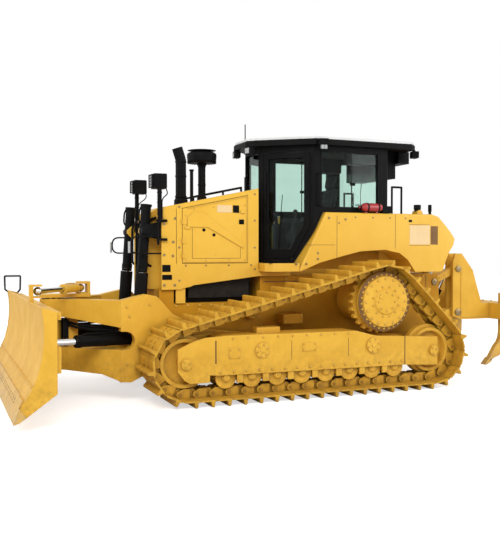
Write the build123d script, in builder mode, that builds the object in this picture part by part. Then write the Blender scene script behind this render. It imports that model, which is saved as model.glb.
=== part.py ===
"""Crawler bulldozer with elevated sprockets, power-angle-tilt blade and parallelogram ripper.

Frame: X forward, Y to the machine's left, Z up, ground at Z = 0, millimetres.
"""
from build123d import *
import math
import os

os.makedirs("parts", exist_ok=True)

# ----------------------------------------------------------------- driving sizes
# running gear
link_pitch = 203.0          # track pin to pin
shoe_count = 47             # shoes on each track
shoe_width = 610.0
grouser_height = 65.0       # lug above its shoe plate
grouser_thick = 26.0
shoe_thick = 20.0
pin_above_shoe = 42.0       # pin centre to the shoe plate's inner face
rail_depth = 63.0           # pin centre to the link's running face
rail_inner = 55.0           # link rail, from the track's middle
rail_outer = 112.0
track_gauge_half = 1040.0   # middle of each track
front_idler_x = 1785.0
wheel_base = 3325.0         # front idler to rear idler
idler_tread_r = 295.0
sprocket_x = -820.0
sprocket_z = 1125.0
sprocket_teeth = 25
sprocket_bush_r = 33.0

# hull, hood and cab
hull_half = 480.0
ground_clear = 385.0
hood_half = 520.0
hood_front_x = 1835.0
hood_front_z = 2285.0
hood_rear_x = 690.0
hood_rear_z = 2525.0
hood_skin = 12.0
guard_front_x = 2005.0
guard_rear_x = 1680.0
cab_floor_z = 1610.0
cab_top_z = 3100.0
cab_wall = 50.0
a_post_x = 467.0
a_post_y = 260.0
b_post_x = -75.0
cab_setback = 65.0          # cab's side in from the fender's
c_post_x = -1185.0
roof_thick = 80.0
fender_half = 800.0
fender_inner = 400.0
fender_top_z = 2250.0
b_post_y = fender_half - cab_setback
roof_half = fender_half     # roof's side edge stands over the fender's

# blade and its frame
frame_pivot_x = 300.0
frame_pivot_z = 560.0
arm_inner = 540.0
arm_outer = 700.0
swivel_x = 3090.0
blade_half = 1830.0
tilt_axis_z = 700.0
gap = 6.0                   # clearance between faces that move past each other
pin_gap = 0.5               # running clearance on the machine's own pins
end_wall = 36.0             # closed end of a cylinder's barrel, and its gland
trunnion_half = 72.0        # lift cylinder's trunnion, half its length
bracket_thick = 20.0
lift_barrel_r = 60.0
guard_tube_r = 77.0        # tube round the lift rod, slides over the barrel
lift_pin = (2037.0, 390.0, 2000.0)      # barrel trunnion, left side
lift_eye = (2107.0, 390.0, 1000.0)      # rod eye on the blade frame
angle_pin = (2130.0, 405.0, 705.0)
angle_eye = (3300.0, 800.0, 745.0)
tilt_pin = (2740.0, 0.0, 1310.0)
tilt_eye = (3340.0, 790.0, 1318.0)

# ripper
ripper_hull_x = -2135.0
ripper_lower_z = 700.0
ripper_link_rise = 620.0    # upper link pin above lower link pin
ripper_link_x = -2545.0     # rear pins of both links
ripper_link_lift = 180.0    # rear pins above hull pins
beam_x = -3270.0
beam_z = 887.0
beam_depth = 350.0
beam_half = 1000.0
shank_y = 545.0             # the middle pocket of the beam is left empty

edge_tip = (3705.0, 90.0)   # lowest point of the cutting edge
origin_x = (edge_tip[0] + beam_x - beam_depth / 2) / 2      # middle of the overall length

SIDES = (1, -1)


# ----------------------------------------------------------------- shape helpers
def wall(points, y0, y1, mode=Mode.ADD):
    """Plate whose outline is given in X, Z and that runs from y0 to y1."""
    lo, hi = min(y0, y1), max(y0, y1)
    with BuildSketch(Plane((0, lo, 0), x_dir=(1, 0, 0), z_dir=(0, -1, 0))) as outline:
        Polygon(*points, align=None)
    extrude(outline.sketch, amount=hi - lo, dir=(0, 1, 0), mode=mode)


def slab(points, z0, z1, mode=Mode.ADD):
    """Plate whose outline is given in X, Y and that runs from z0 to z1."""
    with BuildSketch(Plane.XY.offset(z0)) as outline:
        Polygon(*points, align=None)
    extrude(outline.sketch, amount=z1 - z0, dir=(0, 0, 1), mode=mode)


def box(x0, x1, y0, y1, z0, z1, mode=Mode.ADD):
    """Box between two corners."""
    with Locations(((x0 + x1) / 2, (y0 + y1) / 2, (z0 + z1) / 2)):
        Box(abs(x1 - x0), abs(y1 - y0), abs(z1 - z0), mode=mode)


def rod(start, end, radius, mode=Mode.ADD):
    """Round bar between two points."""
    direction = Vector(*end) - Vector(*start)
    with BuildSketch(Plane(origin=start, z_dir=direction)) as section:
        Circle(radius)
    extrude(section.sketch, amount=direction.length, dir=direction, mode=mode)


def cross_pin(x, z, y0, y1, radius, mode=Mode.ADD):
    """Round bar along Y."""
    rod((x, min(y0, y1), z), (x, max(y0, y1), z), radius, mode)


def post(x, y, z0, z1, radius, mode=Mode.ADD):
    """Round bar along Z."""
    rod((x, y, z0), (x, y, z1), radius, mode)


def turned(profile, start, direction, mode=Mode.ADD):
    """Round body; profile gives (radius, distance along direction) pairs from start."""
    axis = Vector(*direction).normalized()
    radial = Vector(1, 0, 0) if abs(axis.X) < 0.9 else Vector(0, 0, 1)
    with BuildSketch(Plane(origin=start, x_dir=radial, z_dir=radial.cross(axis))) as section:
        Polygon(*profile, align=None)
    revolve(section.sketch, axis=Axis(start, axis), mode=mode)


def along(start, end, distance):
    """Point at a distance from start towards end."""
    direction = (Vector(*end) - Vector(*start)).normalized()
    return tuple(Vector(*start) + direction * distance)


def mirrored(points, side):
    """Plan outline taken to the left (1) or right (-1) side."""
    return [(x, side * y) for x, y in points]


def save(part, name):
    """Store a piece in the frame whose origin lies under the middle of the machine."""
    placed = part.moved(Location((-origin_x, 0, 0)))
    placed.label = name
    export_step(placed, f"parts/{name}.step")


# ----------------------------------------------------------------- track loop
idler_z = grouser_height + shoe_thick + pin_above_shoe + rail_depth + idler_tread_r
rear_idler_x = front_idler_x - wheel_base
pin_path_idler_r = idler_tread_r + rail_depth
sprocket_pitch_r = link_pitch / 4 / math.sin(math.pi / sprocket_teeth)
track_wheels = (            # x, z, radius of the pin path; counter-clockwise seen from the right
    (front_idler_x, idler_z, pin_path_idler_r),
    (sprocket_x, sprocket_z, sprocket_pitch_r),
    (rear_idler_x, idler_z, pin_path_idler_r),
)


def pin_path():
    """Runs of the pin path: straight runs and the arcs round each wheel."""
    runs, count = [], len(track_wheels)
    tangents = []
    for i in range(count):
        ax, az, ar = track_wheels[i]
        bx, bz, br = track_wheels[(i + 1) % count]
        length = math.hypot(bx - ax, bz - az)
        ux, uz = (bx - ax) / length, (bz - az) / length
        wx, wz = uz, -ux
        cosine = (ar - br) / length
        sine = math.sqrt(1 - cosine * cosine)
        tangents.append((ux * cosine + wx * sine, uz * cosine + wz * sine))
    for i in range(count):
        ax, az, ar = track_wheels[i]
        bx, bz, br = track_wheels[(i + 1) % count]
        nx, nz = tangents[i]
        start = (ax + ar * nx, az + ar * nz)
        end = (bx + br * nx, bz + br * nz)
        length = math.hypot(end[0] - start[0], end[1] - start[1])
        runs.append(("line", length, start, (nx, nz)))
        turn_from = math.atan2(nz, nx)
        mx, mz = tangents[(i + 1) % count]
        turn = (math.atan2(mz, mx) - turn_from) % (2 * math.pi)
        runs.append(("arc", br * turn, (bx, bz, br), turn_from))
    return runs


PATH = pin_path()
PATH_LENGTH = sum(run[1] for run in PATH)


def path_at(distance):
    """Point on the pin path and the outward normal there."""
    distance %= PATH_LENGTH
    for kind, length, place, heading in PATH:
        if distance <= length:
            break
        distance -= length
    if kind == "line":
        nx, nz = heading
        return place[0] - nz * distance, place[1] + nx * distance, nx, nz
    cx, cz, radius = place
    angle = heading + distance / radius
    nx, nz = math.cos(angle), math.sin(angle)
    return cx + radius * nx, cz + radius * nz, nx, nz


def track_outline(profile):
    """Closed outline round the loop; profile is (part of a pitch, offset outward) per shoe."""
    pitch = PATH_LENGTH / shoe_count
    points = []
    for shoe in range(shoe_count):
        a = path_at(shoe * pitch)
        b = path_at((shoe + 1) * pitch)
        tx, tz = b[0] - a[0], b[1] - a[1]
        chord = math.hypot(tx, tz)
        tx, tz = tx / chord, tz / chord
        nx, nz = tz, -tx
        for part, offset in profile:
            along_chord = part * chord
            points.append((a[0] + tx * along_chord + nx * offset, a[1] + tz * along_chord + nz * offset))
    return points


plate_top = pin_above_shoe + shoe_thick
tip = plate_top + grouser_height
half_bar = grouser_thick / 2 / link_pitch
SHOE_PROFILE = (            # part of a pitch, offset outward from the pin path
    (0.0, pin_above_shoe + 4),
    (0.03, plate_top),
    (0.30 - 1.8 * half_bar, plate_top),
    (0.30 - half_bar, tip),
    (0.30 + half_bar, tip),
    (0.30 + 1.8 * half_bar, plate_top),
    (0.97, plate_top),
)

with BuildPart() as tracks:
    for side in SIDES:
        middle = side * track_gauge_half
        wall(track_outline(SHOE_PROFILE), middle - shoe_width / 2, middle + shoe_width / 2)
        wall(track_outline(((0.0, pin_above_shoe),)), middle - shoe_width / 2 - 5,
             middle + shoe_width / 2 + 5, mode=Mode.SUBTRACT)
        for rail in SIDES:
            with BuildSketch(Plane((0, middle + rail * (rail_inner + rail_outer) / 2, 0),
                                   x_dir=(1, 0, 0), z_dir=(0, -1, 0))):
                Polygon(*track_outline(((0.0, pin_above_shoe + 1),)), align=None)
                Polygon(*track_outline(((0.0, -rail_depth),)), align=None, mode=Mode.SUBTRACT)
            extrude(amount=(rail_outer - rail_inner) / 2, both=True)
save(tracks.part, "tracks")

# sprocket and final drive
with BuildPart() as final_drives:
    for side in SIDES:
        middle = side * track_gauge_half
        root_r = sprocket_pitch_r - sprocket_bush_r
        teeth = []
        for tooth in range(sprocket_teeth):
            for turn, radius in ((-0.30, root_r), (-0.14, sprocket_pitch_r + 2),
                                 (0.14, sprocket_pitch_r + 2), (0.30, root_r)):
                angle = 2 * math.pi * (tooth + turn) / sprocket_teeth
                teeth.append((sprocket_x + radius * math.cos(angle), sprocket_z + radius * math.sin(angle)))
        wall(teeth, middle - 36, middle + 36)
        # stepped hub with a dished cover: radius, distance from the machine's middle
        g = track_gauge_half
        turned(((0, hull_half), (280, hull_half), (280, g - 300), (300, g - 300), (300, g + 118), (358, g + 118),
                (372, g + 132), (372, g + 160), (350, g + 176), (322, g + 180), (314, g + 202), (165, g + 207),
                (150, g + 225), (0, g + 225)), (sprocket_x, 0, sprocket_z), (0, side, 0))
save(final_drives.part, "final_drives")

# idlers and track rollers
roller_r = 108.0
roller_z = idler_z - idler_tread_r + roller_r
ROLLERS = [1290 - i * 325 for i in range(8)]     # roller axles along X
with BuildPart() as track_wheels_part:
    for side in SIDES:
        middle = side * track_gauge_half
        for x in (front_idler_x, rear_idler_x):
            # treads with a centre flange and a dished web
            tread, face, flange = idler_tread_r - 14, rail_outer + 2, rail_inner - 4
            turned(((0, -40), (tread - 60, -40), (tread - 40, -face), (tread, -face), (tread, -flange),
                    (idler_tread_r + 26, -flange + 8), (idler_tread_r + 26, flange - 8), (tread, flange),
                    (tread, face), (tread - 40, face), (tread - 60, 40), (0, 40)), (x, middle, idler_z), (0, 1, 0))
            cross_pin(x, idler_z, middle - 150, middle + 150, 75)
        for x in ROLLERS:
            cross_pin(x, roller_z, middle - rail_outer - 3, middle + rail_outer + 3, roller_r - 2)
            cross_pin(x, roller_z, middle - rail_outer - 26, middle - rail_outer - 3, roller_r + 18)
            cross_pin(x, roller_z, middle + rail_outer + 3, middle + rail_outer + 26, roller_r + 18)
save(track_wheels_part.part, "idlers_rollers")

# track roller frames
frame_in = track_gauge_half - 165
frame_out = track_gauge_half + 165
with BuildPart() as track_frames:
    for side in SIDES:
        wall(((1400, 470), (1400, 770), (1300, 788), (-410, 776), (-700, 700), (-1110, 680), (-1110, 470)),
             side * frame_in, side * frame_out)
        # outer and inner skirt plates with the idler forks
        fork_x, heel_x = front_idler_x + 95, rear_idler_x - 70
        for near, far in ((frame_out - 12, frame_out + 22), (frame_in - 22, frame_in + 12)):
            wall(((fork_x, 400), (fork_x, 655), (1700, 735), (1560, 772), (1300, 788), (-410, 776), (-700, 700),
                  (heel_x, 655), (heel_x, 290), (-1110, 318), (1400, 335), (1500, 345), (1500, 262), (1740, 262),
                  (1800, 300)), side * near, side * far)
        # idler shaft ends
        for x in (front_idler_x, rear_idler_x):
            cross_pin(x, idler_z, side * (frame_out + 20), side * (frame_out + 52), 62)
        # guard blocks between the rollers
        for x in ROLLERS[:-1]:
            box(x - 200, x - 125, side * (frame_out - 12), side * (frame_out + 14), 236, 350)
        # covers on the outer face
        for x, z, radius, height in ((855, 600, 88, 16), (-645, 590, 95, 26)):
            cross_pin(x, z, side * (frame_out + 20), side * (frame_out + 22 + height), radius)
        # carrier block under the top run
        box(560, 860, side * (track_gauge_half - 120), side * (track_gauge_half + 40), 770, 850)
save(track_frames.part, "track_frames")

# ----------------------------------------------------------------- hull
with BuildPart() as main_frame:
    wall(((1900, 560), (1760, ground_clear), (-1500, ground_clear), (-2040, 560), (-2040, 1440), (560, 1440),
          (560, 1120), (1900, 1120)), -hull_half, hull_half)
    # front cross head under the radiator guard
    box(1700, 1885, -hull_half, hull_half, 1000, 1290)
    # pivot shaft and equalizer bar
    cross_pin(-645, 590, -frame_in + 22, frame_in - 22, 90)
    box(1040, 1200, -(frame_in - 22), frame_in - 22, ground_clear + 5, 465)
    for side in SIDES:
        # blade frame trunnion
        cross_pin(frame_pivot_x, frame_pivot_z, side * (hull_half - 20), side * (arm_outer + 15), 70)
        cross_pin(frame_pivot_x, frame_pivot_z, side * (hull_half - 20), side * (arm_inner - gap), 130)
        # side box above the pivot, between the runs of the track
        box(60, 330, side * (hull_half - 10), side * (arm_outer - 10), 840, 960)
        cross_pin(705, 995, side * (hull_half - 10), side * (arm_outer - 60), 95)
        # ripper carrier ears at the rear
        for near, far in ((250, 290), (390, 430)):
            wall(((-2000, 590), (-2000, 1430), (ripper_hull_x - 40, 1430), (ripper_hull_x - 75, 1320),
                  (ripper_hull_x - 75, 700), (ripper_hull_x - 20, 600)), side * near, side * far)
    # drawbar under the ripper
    box(-2300, -1700, -80, 80, 400, 500)
    post(-2230, 0, 390, 510, 31, mode=Mode.SUBTRACT)
save(main_frame.part, "main_frame")

# ----------------------------------------------------------------- engine and front
with BuildPart() as engine_block:
    box(640, 1560, -330, 330, 1125, 2050)
    box(700, 1500, -430, 430, 1180, 1420)
save(engine_block.part, "engine_block")


def hood_z(x):
    """Height of the hood's top sheet."""
    return hood_front_z + (hood_front_x - x) / (hood_front_x - hood_rear_x) * (hood_rear_z - hood_front_z)


guard_low_z = 1290.0
guard_shoulder_x = 1862.0    # set back beside the front, room for the lift cylinders
guard_nose_half = 262.0
grille_half = guard_nose_half - 30
niche_x = 1760.0             # back of the niche behind each lift cylinder
bracket_in = lift_pin[1] - trunnion_half - 11       # inner bracket's face beside the trunnion
bracket_out = lift_pin[1] + trunnion_half + 25      # outer bracket's outer face
with BuildPart() as radiator_guard:
    wall(((guard_rear_x, guard_low_z), (guard_shoulder_x, guard_low_z), (guard_shoulder_x, 2175),
          (hood_front_x, hood_front_z), (guard_rear_x, hood_z(guard_rear_x))), -hood_half, hood_half)
    wall(((guard_rear_x, guard_low_z), (guard_front_x, guard_low_z), (guard_front_x, 1960),
          (guard_front_x - 80, 2230), (hood_front_x, hood_front_z)), -guard_nose_half, guard_nose_half)
    # core space behind the grille
    box(guard_rear_x + 60, guard_front_x + 50, -grille_half, grille_half, guard_low_z + 90, 2120,
        mode=Mode.SUBTRACT)
    for side in SIDES:
        # niche that the lift cylinder swings into
        box(niche_x, guard_shoulder_x + 10, side * guard_nose_half, side * (hood_half - 25), guard_low_z - 10, 2130,
            mode=Mode.SUBTRACT)
        # trunnion brackets of the lift cylinders
        for near, far in ((bracket_in - bracket_thick, bracket_in), (bracket_out - bracket_thick, bracket_out)):
            wall(((niche_x - 12, lift_pin[2] - 120), (niche_x - 12, lift_pin[2] + 130),
                  (lift_pin[0], lift_pin[2] + 70), (lift_pin[0] + 50, lift_pin[2] + 20),
                  (lift_pin[0] + 50, lift_pin[2] - 20), (lift_pin[0], lift_pin[2] - 70)), side * near, side * far)
save(radiator_guard.part, "radiator_guard")

with BuildPart() as front_grille:
    box(guard_rear_x + 60, guard_rear_x + 100, -grille_half, grille_half, guard_low_z + 90, 2120)
    for i in range(12):
        z = guard_low_z + 130 + i * 58
        box(guard_front_x - 60, guard_front_x - 35, -grille_half, grille_half, z, z + 26)
    for y in (-150, 0, 150):
        box(guard_front_x - 40, guard_front_x - 22, y - 14, y + 14, guard_low_z + 90, 2120)
    box(guard_rear_x + 60, guard_front_x - 45, -12, 12, guard_low_z + 90, 2120)
save(front_grille.part, "front_grille")

# hood: top sheet, front and rear side strips, lower side panels
stack_x, stack_y, stack_r = 1520.0, 200.0, 66.0
cleaner_x = 1175.0
engine_door = (1600.0, 750.0)     # front and rear edge
door_low_z = 1612.0
hinge_r = 10.0
hinge_out = 13.0                  # hinge axis outside the panel's face
HOOD_STRIPS = (                   # x from, x to, z low
    (guard_rear_x - gap, engine_door[0] + gap, 1290.0),
    (engine_door[1] - gap, 600.0, 1455.0),
)
with BuildPart() as hood:
    wall(((guard_rear_x, hood_z(guard_rear_x)), (600, hood_z(600)), (600, hood_z(600) - hood_skin),
          (guard_rear_x, hood_z(guard_rear_x) - hood_skin)), -hood_half + 40, hood_half - 40)
    for side in SIDES:
        # rolled shoulder
        wall(((guard_rear_x, hood_z(guard_rear_x) - 2), (600, hood_z(600) - 2), (600, hood_z(600) - 58),
              (guard_rear_x, hood_z(guard_rear_x) - 58)), side * (hood_half - 52), side * (hood_half - 4))
        for x_to, x_from, low in HOOD_STRIPS:
            wall(((x_from, low), (x_to, low), (x_to, hood_z(x_to) - 30), (x_from, hood_z(x_from) - 30)),
                 side * (hood_half - 30), side * hood_half)
        # lower panel under the door, its lower edge rising to the rear
        wall(((600, door_low_z - 8), (guard_rear_x, door_low_z - 8), (guard_rear_x, 1290), (1500, 1322),
              (1460, 1340), (600, 1440)), side * (hood_half - 26), side * hood_half)
        box(1560, guard_rear_x, side * (hood_half - 40), side * (hood_half - 20), 1120, 1320)
    # stack openings in the top sheet
    for x, y, radius in ((stack_x, stack_y, 88), (cleaner_x, 0, 64), (cleaner_x + 148, 30, 24)):
        post(x, y, 2200, 2600, radius, mode=Mode.SUBTRACT)
    # bulkhead at the rear and cross member at the front
    box(600, 640, -hood_half + 10, hood_half - 10, 1440, hood_z(620) - 5)
save(hood.part, "hood")

for side, name in ((1, "engine_door_left"), (-1, "engine_door_right")):
    with BuildPart() as engine_side:
        front, rear = engine_door
        wall(((rear, door_low_z), (front, door_low_z), (front, hood_z(front) - 64), (rear, hood_z(rear) - 64)),
             side * (hood_half - 24), side * (hood_half + 4))
        # pressed crease that falls to the rear
        wall(((front - 60, 2160), (front - 140, 2230), (1330, 2230), (rear + 60, 1830), (rear + 60, 1790),
              (1280, 2050), (front - 60, 2050)), side * (hood_half + 3), side * (hood_half + 16))
        for x, z in ((front - 60, 2040), (rear + 70, 2240)):
            box(x - 30, x + 30, side * (hood_half + 3), side * (hood_half + 20), z - 14, z + 14)
        # hinge leaves and knuckles at the front edge
        for z in (door_low_z + 90, 1880, 2110):
            box(front - 52, front, side * (hood_half + 2), side * (hood_half + 9), z - 32, z + 32)
            post(front, side * (hood_half + hinge_out), z - 32, z + 32, hinge_r)
    save(engine_side.part, name)

# ----------------------------------------------------------------- stacks and lamps
with BuildPart() as exhaust_stack:
    base_z = hood_z(stack_x)
    turned(((0, -14), (86, -14), (86, 40), (stack_r + 6, 58), (stack_r + 6, 66), (stack_r, 72),
            (stack_r, 2905 - base_z), (0, 2905 - base_z)), (stack_x, stack_y, base_z), (0, 0, 1))
    rod((stack_x, stack_y, 2893), (stack_x + 48, stack_y, 3042), stack_r)
    rod((stack_x + 26, stack_y, 2960), (stack_x + 52, stack_y, 3056), stack_r - 6, mode=Mode.SUBTRACT)
save(exhaust_stack.part, "exhaust_stack")

with BuildPart() as precleaner:
    with BuildSketch(Plane((cleaner_x, 0, 0), x_dir=(1, 0, 0), z_dir=(0, -1, 0))) as section:
        with BuildLine():
            # neck, bowl and a crowned lid: radius, Z
            Polyline((0, hood_z(cleaner_x) - 14), (62, hood_z(cleaner_x) - 14), (62, hood_z(cleaner_x) + 30),
                     (48, hood_z(cleaner_x) + 44), (48, 2850), (66, 2868), (66, 2880), (150, 2886))
            Spline((150, 2886), (182, 2905), (189, 2960), (182, 3012), (120, 3042), (0, 3052),
                   tangents=((1, 0), (-1, 0)))
            Line((0, 3052), (0, hood_z(cleaner_x) - 14))
        make_face()
    revolve(section.sketch, axis=Axis((cleaner_x, 0, 0), (0, 0, 1)))
    post(cleaner_x + 148, 30, hood_z(cleaner_x + 148) - 14, 2790, 22)
    post(cleaner_x + 148, 30, 2780, 2800, 30)
save(precleaner.part, "precleaner")

lamp_x, lamp_y, lamp_z = 1900.0, 470.0, 2590.0
lamp_post_y = max(hood_half, bracket_out) + 29
with BuildPart() as front_lamps:
    for side in SIDES:
        y = side * lamp_y
        post(lamp_x - 6, side * lamp_post_y, 2090, lamp_z - 84, 27)
        post(lamp_x + 12, side * lamp_post_y, 1830, 2100, 14)
        for low in (2105, 1880):
            box(lamp_x - 100, lamp_x + 25, side * max(hood_half, bracket_out), side * (lamp_post_y + 8), low, low + 30)
        # hood of the lamp with a set-in lens rim
        box(lamp_x - 95, lamp_x + 55, y - 80, y + 80, lamp_z - 88, lamp_z + 92)
        box(lamp_x + 45, lamp_x + 78, y - 68, y + 68, lamp_z - 74, lamp_z + 78)
save(front_lamps.part, "front_lamps")

# ----------------------------------------------------------------- platform, fenders, cab
with BuildPart() as platform:
    slab(((600, hood_half), (600, -hood_half), (156, -hood_half), (156, -fender_inner), (-1640, -fender_inner),
          (-1640, fender_inner), (156, fender_inner), (156, hood_half)), 1440, 1526)
    for side in SIDES:
        slab(mirrored(((594, 300), (594, fender_half - 100), (520, fender_half - 10),
                       (156, fender_half - 10), (156, 300)), side), 1500, cab_floor_z - gap)
    slab(((594, hood_half + 40), (594, -hood_half - 40), (156, -hood_half - 40), (156, hood_half + 40)),
         1520, cab_floor_z - gap)
save(platform.part, "platform")

FENDER = (                  # X, Z of the side outline
    (150, 1540), (-215, fender_top_z), (-1820, fender_top_z), (-1925, 2215), (-2040, 2105), (-2140, 1995),
    (-2195, 1920), (-2170, 1830), (-2105, 1740), (-2060, 1640), (-1990, 1478), (-1560, 1478), (-1440, 1640),
    (-1310, 1728), (-1090, 1772), (-720, 1752), (-490, 1700), (-130, 1610), (150, 1500),
)
with BuildPart() as fenders:
    for side in SIDES:
        wall(FENDER, side * fender_inner, side * fender_half)
    # rounded along the top and down the front slope
    fillet(fenders.edges().filter_by(lambda e: abs(abs(e.center().Y) - fender_half) < 1
                                     and (e.center().Z > fender_top_z - 5 or e.center().X > -100)
                                     and e.center().Z > 1700), 24)
    for side in SIDES:
        cross_pin(-1725, fender_top_z + 18, side * (fender_half - 260), side * (fender_half - 140), 45)
    # rear tank between the sides
    wall(((-1240, 1532), (-1240, fender_top_z), (-1820, fender_top_z), (-1925, 2215), (-2040, 2105),
          (-2140, 1995), (-2195, 1920), (-2170, 1830), (-2105, 1740), (-2060, 1640), (-2010, 1532)), -fender_inner - 5, fender_inner + 5)
save(fenders.part, "fenders")

cab_plan = [(a_post_x, a_post_y), (b_post_x, b_post_y), (c_post_x, b_post_y - 20),
            (c_post_x, -b_post_y + 20), (b_post_x, -b_post_y), (a_post_x, -a_post_y)]
door_dx, door_dy = b_post_x - a_post_x, b_post_y - a_post_y
door_run = math.hypot(door_dx, door_dy)


def door_outline(margin):
    """Door edge, inset by a margin from the opening: distance from the front post, Z."""
    return [(44 + margin, 1650 + margin), (440 - margin, 1650 + margin), (door_run - 52 - margin, 2065 + margin),
            (door_run - 52 - margin, 3020 - margin), (44 + margin, 3020 - margin)]


def door_shape(points, side, outward, inward, mode=Mode.ADD):
    """Plate on the door face between two depths; points give distance from the front post and Z."""
    out = Vector(door_dy, -side * door_dx, 0).normalized()
    face = Plane(Vector(a_post_x, side * a_post_y, 0) - out * inward, x_dir=(door_dx, side * door_dy, 0),
                 z_dir=out * side)
    with BuildSketch(face) as outline:
        Polygon(*points, align=None)
    extrude(outline.sketch, amount=outward + inward, dir=out, mode=mode)


def door_place(distance, outward, side):
    """X, Y of a point on the door face, out from it by a distance."""
    out = Vector(door_dy, -door_dx, 0).normalized()
    return (a_post_x + door_dx * distance / door_run + out.X * outward,
            side * (a_post_y + door_dy * distance / door_run + out.Y * outward))


side_window = (b_post_x - 110, c_post_x + 165, 2325.0, 3020.0)   # x front, x rear, z low, z high
rear_window = (600.0, 2330.0, 3010.0)                          # half width, z low, z high
windshield = (a_post_y - 42, 1760.0, 3020.0)
with BuildPart() as cab_frame:
    slab(cab_plan, cab_floor_z, cab_top_z)
    fillet(cab_frame.edges().filter_by(Axis.Z), 30)
    with BuildSketch(Plane.XY.offset(cab_floor_z + 30)):
        with BuildLine():
            Polyline(*cab_plan, close=True)
        make_face()
        offset(amount=-cab_wall, mode=Mode.REPLACE)
    extrude(amount=cab_top_z - cab_floor_z, mode=Mode.SUBTRACT)
    for side in SIDES:
        # room for the fenders below the belt line
        wall(((190, 1480), (-200, fender_top_z + 8), (-1700, fender_top_z + 8), (-1700, 1480)),
             side * (fender_inner - 4), side * (fender_half + 30), mode=Mode.SUBTRACT)
        door_shape(door_outline(0), side, 60, cab_wall + 12, mode=Mode.SUBTRACT)
        front, rear, low, high = side_window
        box(rear, front, side * (b_post_y - 120), side * (b_post_y + 60), low, high, mode=Mode.SUBTRACT)
        # inner side walls beside the fenders
        box(c_post_x, -120, side * (fender_inner - 44), side * (fender_inner - 4), cab_floor_z, fender_top_z + 30)
        # shelf on top of each fender
        box(c_post_x, -205, side * (fender_inner - 44), side * (b_post_y - 22), fender_top_z + 8,
            fender_top_z + 38)
    half, low, high = windshield
    box(a_post_x - 80, a_post_x + 40, -half, half, low, high, mode=Mode.SUBTRACT)
    half, low, high = rear_window
    box(c_post_x - 40, c_post_x + 80, -half, half, low, high, mode=Mode.SUBTRACT)
save(cab_frame.part, "cab_frame")

glass = 8.0
with BuildPart() as cab_glass:
    half, low, high = windshield
    box(a_post_x - 30, a_post_x - 30 + glass, -half, half, low, high)
    half, low, high = rear_window
    box(c_post_x + 20, c_post_x + 20 + glass, -half, half, low, high)
    front, rear, low, high = side_window
    for side in SIDES:
        # follows the slight taper of the cab side
        slope = 20 / (b_post_x - c_post_x)
        y_front = b_post_y - 24 - slope * (b_post_x - front)
        y_rear = b_post_y - 24 - slope * (b_post_x - rear)
        slab(mirrored(((front, y_front), (rear, y_rear), (rear, y_rear - glass), (front, y_front - glass)), side),
             low, high)
save(cab_glass.part, "cab_glass")

for side, name in ((1, "left"), (-1, "right")):
    with BuildPart() as door:
        door_shape(door_outline(gap), side, 4, cab_wall - 6)
        door_shape([(110, 1770), (415, 1770), (door_run - 125, 2120), (door_run - 125, 2950), (110, 2950)],
                   side, 30, cab_wall + 10, mode=Mode.SUBTRACT)
        # pull handle
        door_shape([(95, 2130), (70, 2130), (70, 2290), (95, 2290)], side, 42, -3)
        # hinge leaves and knuckles at the rear edge
        hinge_at = door_run - 52
        for z in (2160, 2540, 2920):
            door_shape([(hinge_at - 62, z - 35), (hinge_at, z - 35), (hinge_at, z + 35), (hinge_at - 62, z + 35)],
                       side, 10, -3)
            hinge_x, hinge_y = door_place(hinge_at, hinge_out, side)
            post(hinge_x, hinge_y, z - 35, z + 35, hinge_r)
    save(door.part, f"door_{name}")
    with BuildPart() as door_glass:
        door_shape([(110, 1770), (415, 1770), (door_run - 125, 2120), (door_run - 125, 2950), (110, 2950)],
                   side, -18, 18 + glass)
    save(door_glass.part, f"door_glass_{name}")

ROOF = ((650, 215), (560, 330), (-60, roof_half), (-1500, roof_half), (-1590, roof_half - 60))   # left edge
roof_plan = list(ROOF) + [(x, -y) for x, y in reversed(ROOF)]
with BuildPart() as cab_roof:
    slab(roof_plan, cab_top_z, cab_top_z + roof_thick)
    fillet(cab_roof.edges().filter_by(Axis.Z), 35)
    chamfer(cab_roof.faces().sort_by(Axis.Z)[-1].edges(), 22)
    # air conditioner under the rear overhang
    box(-1480, c_post_x - 20, -430, 430, 2745, cab_top_z + 5)
    box(-1640, -1470, -520, 520, 2945, cab_top_z + 5)
save(cab_roof.part, "cab_roof")

LAMPS = (                   # x, y, z, heading in degrees from ahead, for the left side
    (600, 225, 3050, 12), (-140, roof_half + 58, 3120, 75), (-1600, roof_half - 100, 3046, 165),
)
with BuildPart() as roof_lamps:
    for side in SIDES:
        for x, y, z, heading in LAMPS:
            with Locations(Location((x, side * y, z), (0, 0, side * heading))):
                Box(80, 120, 88)
    post(570, 0, cab_top_z + roof_thick, 3425, 7)
    post(570, 0, cab_top_z + roof_thick, cab_top_z + roof_thick + 30, 20)
save(roof_lamps.part, "roof_lamps")

with BuildPart() as operator_seat:
    box(-560, -60, -260, 260, 1890, 2030)
    wall(((-500, 2000), (-600, 2000), (-720, 2620), (-640, 2640)), -250, 250)
    wall(((-650, 2600), (-735, 2590), (-765, 2790), (-700, 2800)), -140, 140)
    for side in SIDES:
        box(-520, -80, side * 290, side * 350, 2150, 2210)
        box(-480, -400, side * 255, side * 350, 1950, 2160)
    box(-500, -120, -200, 200, cab_floor_z + 30, 1895)
save(operator_seat.part, "operator_seat")

with BuildPart() as console:
    wall(((250, cab_floor_z + 30), (400, cab_floor_z + 30), (400, 2020), (330, 2200), (250, 2120)), -150, 150)
    box(300, 330, -110, 110, 2120, 2330)
    for side in SIDES:
        box(-330, 20, side * 262, side * 345, cab_floor_z + 30, 2120)
        post(-20, side * 304, 2110, 2260, 18)
        with Locations((-20, side * 304, 2275)):
            Sphere(30)
save(console.part, "console")

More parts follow.
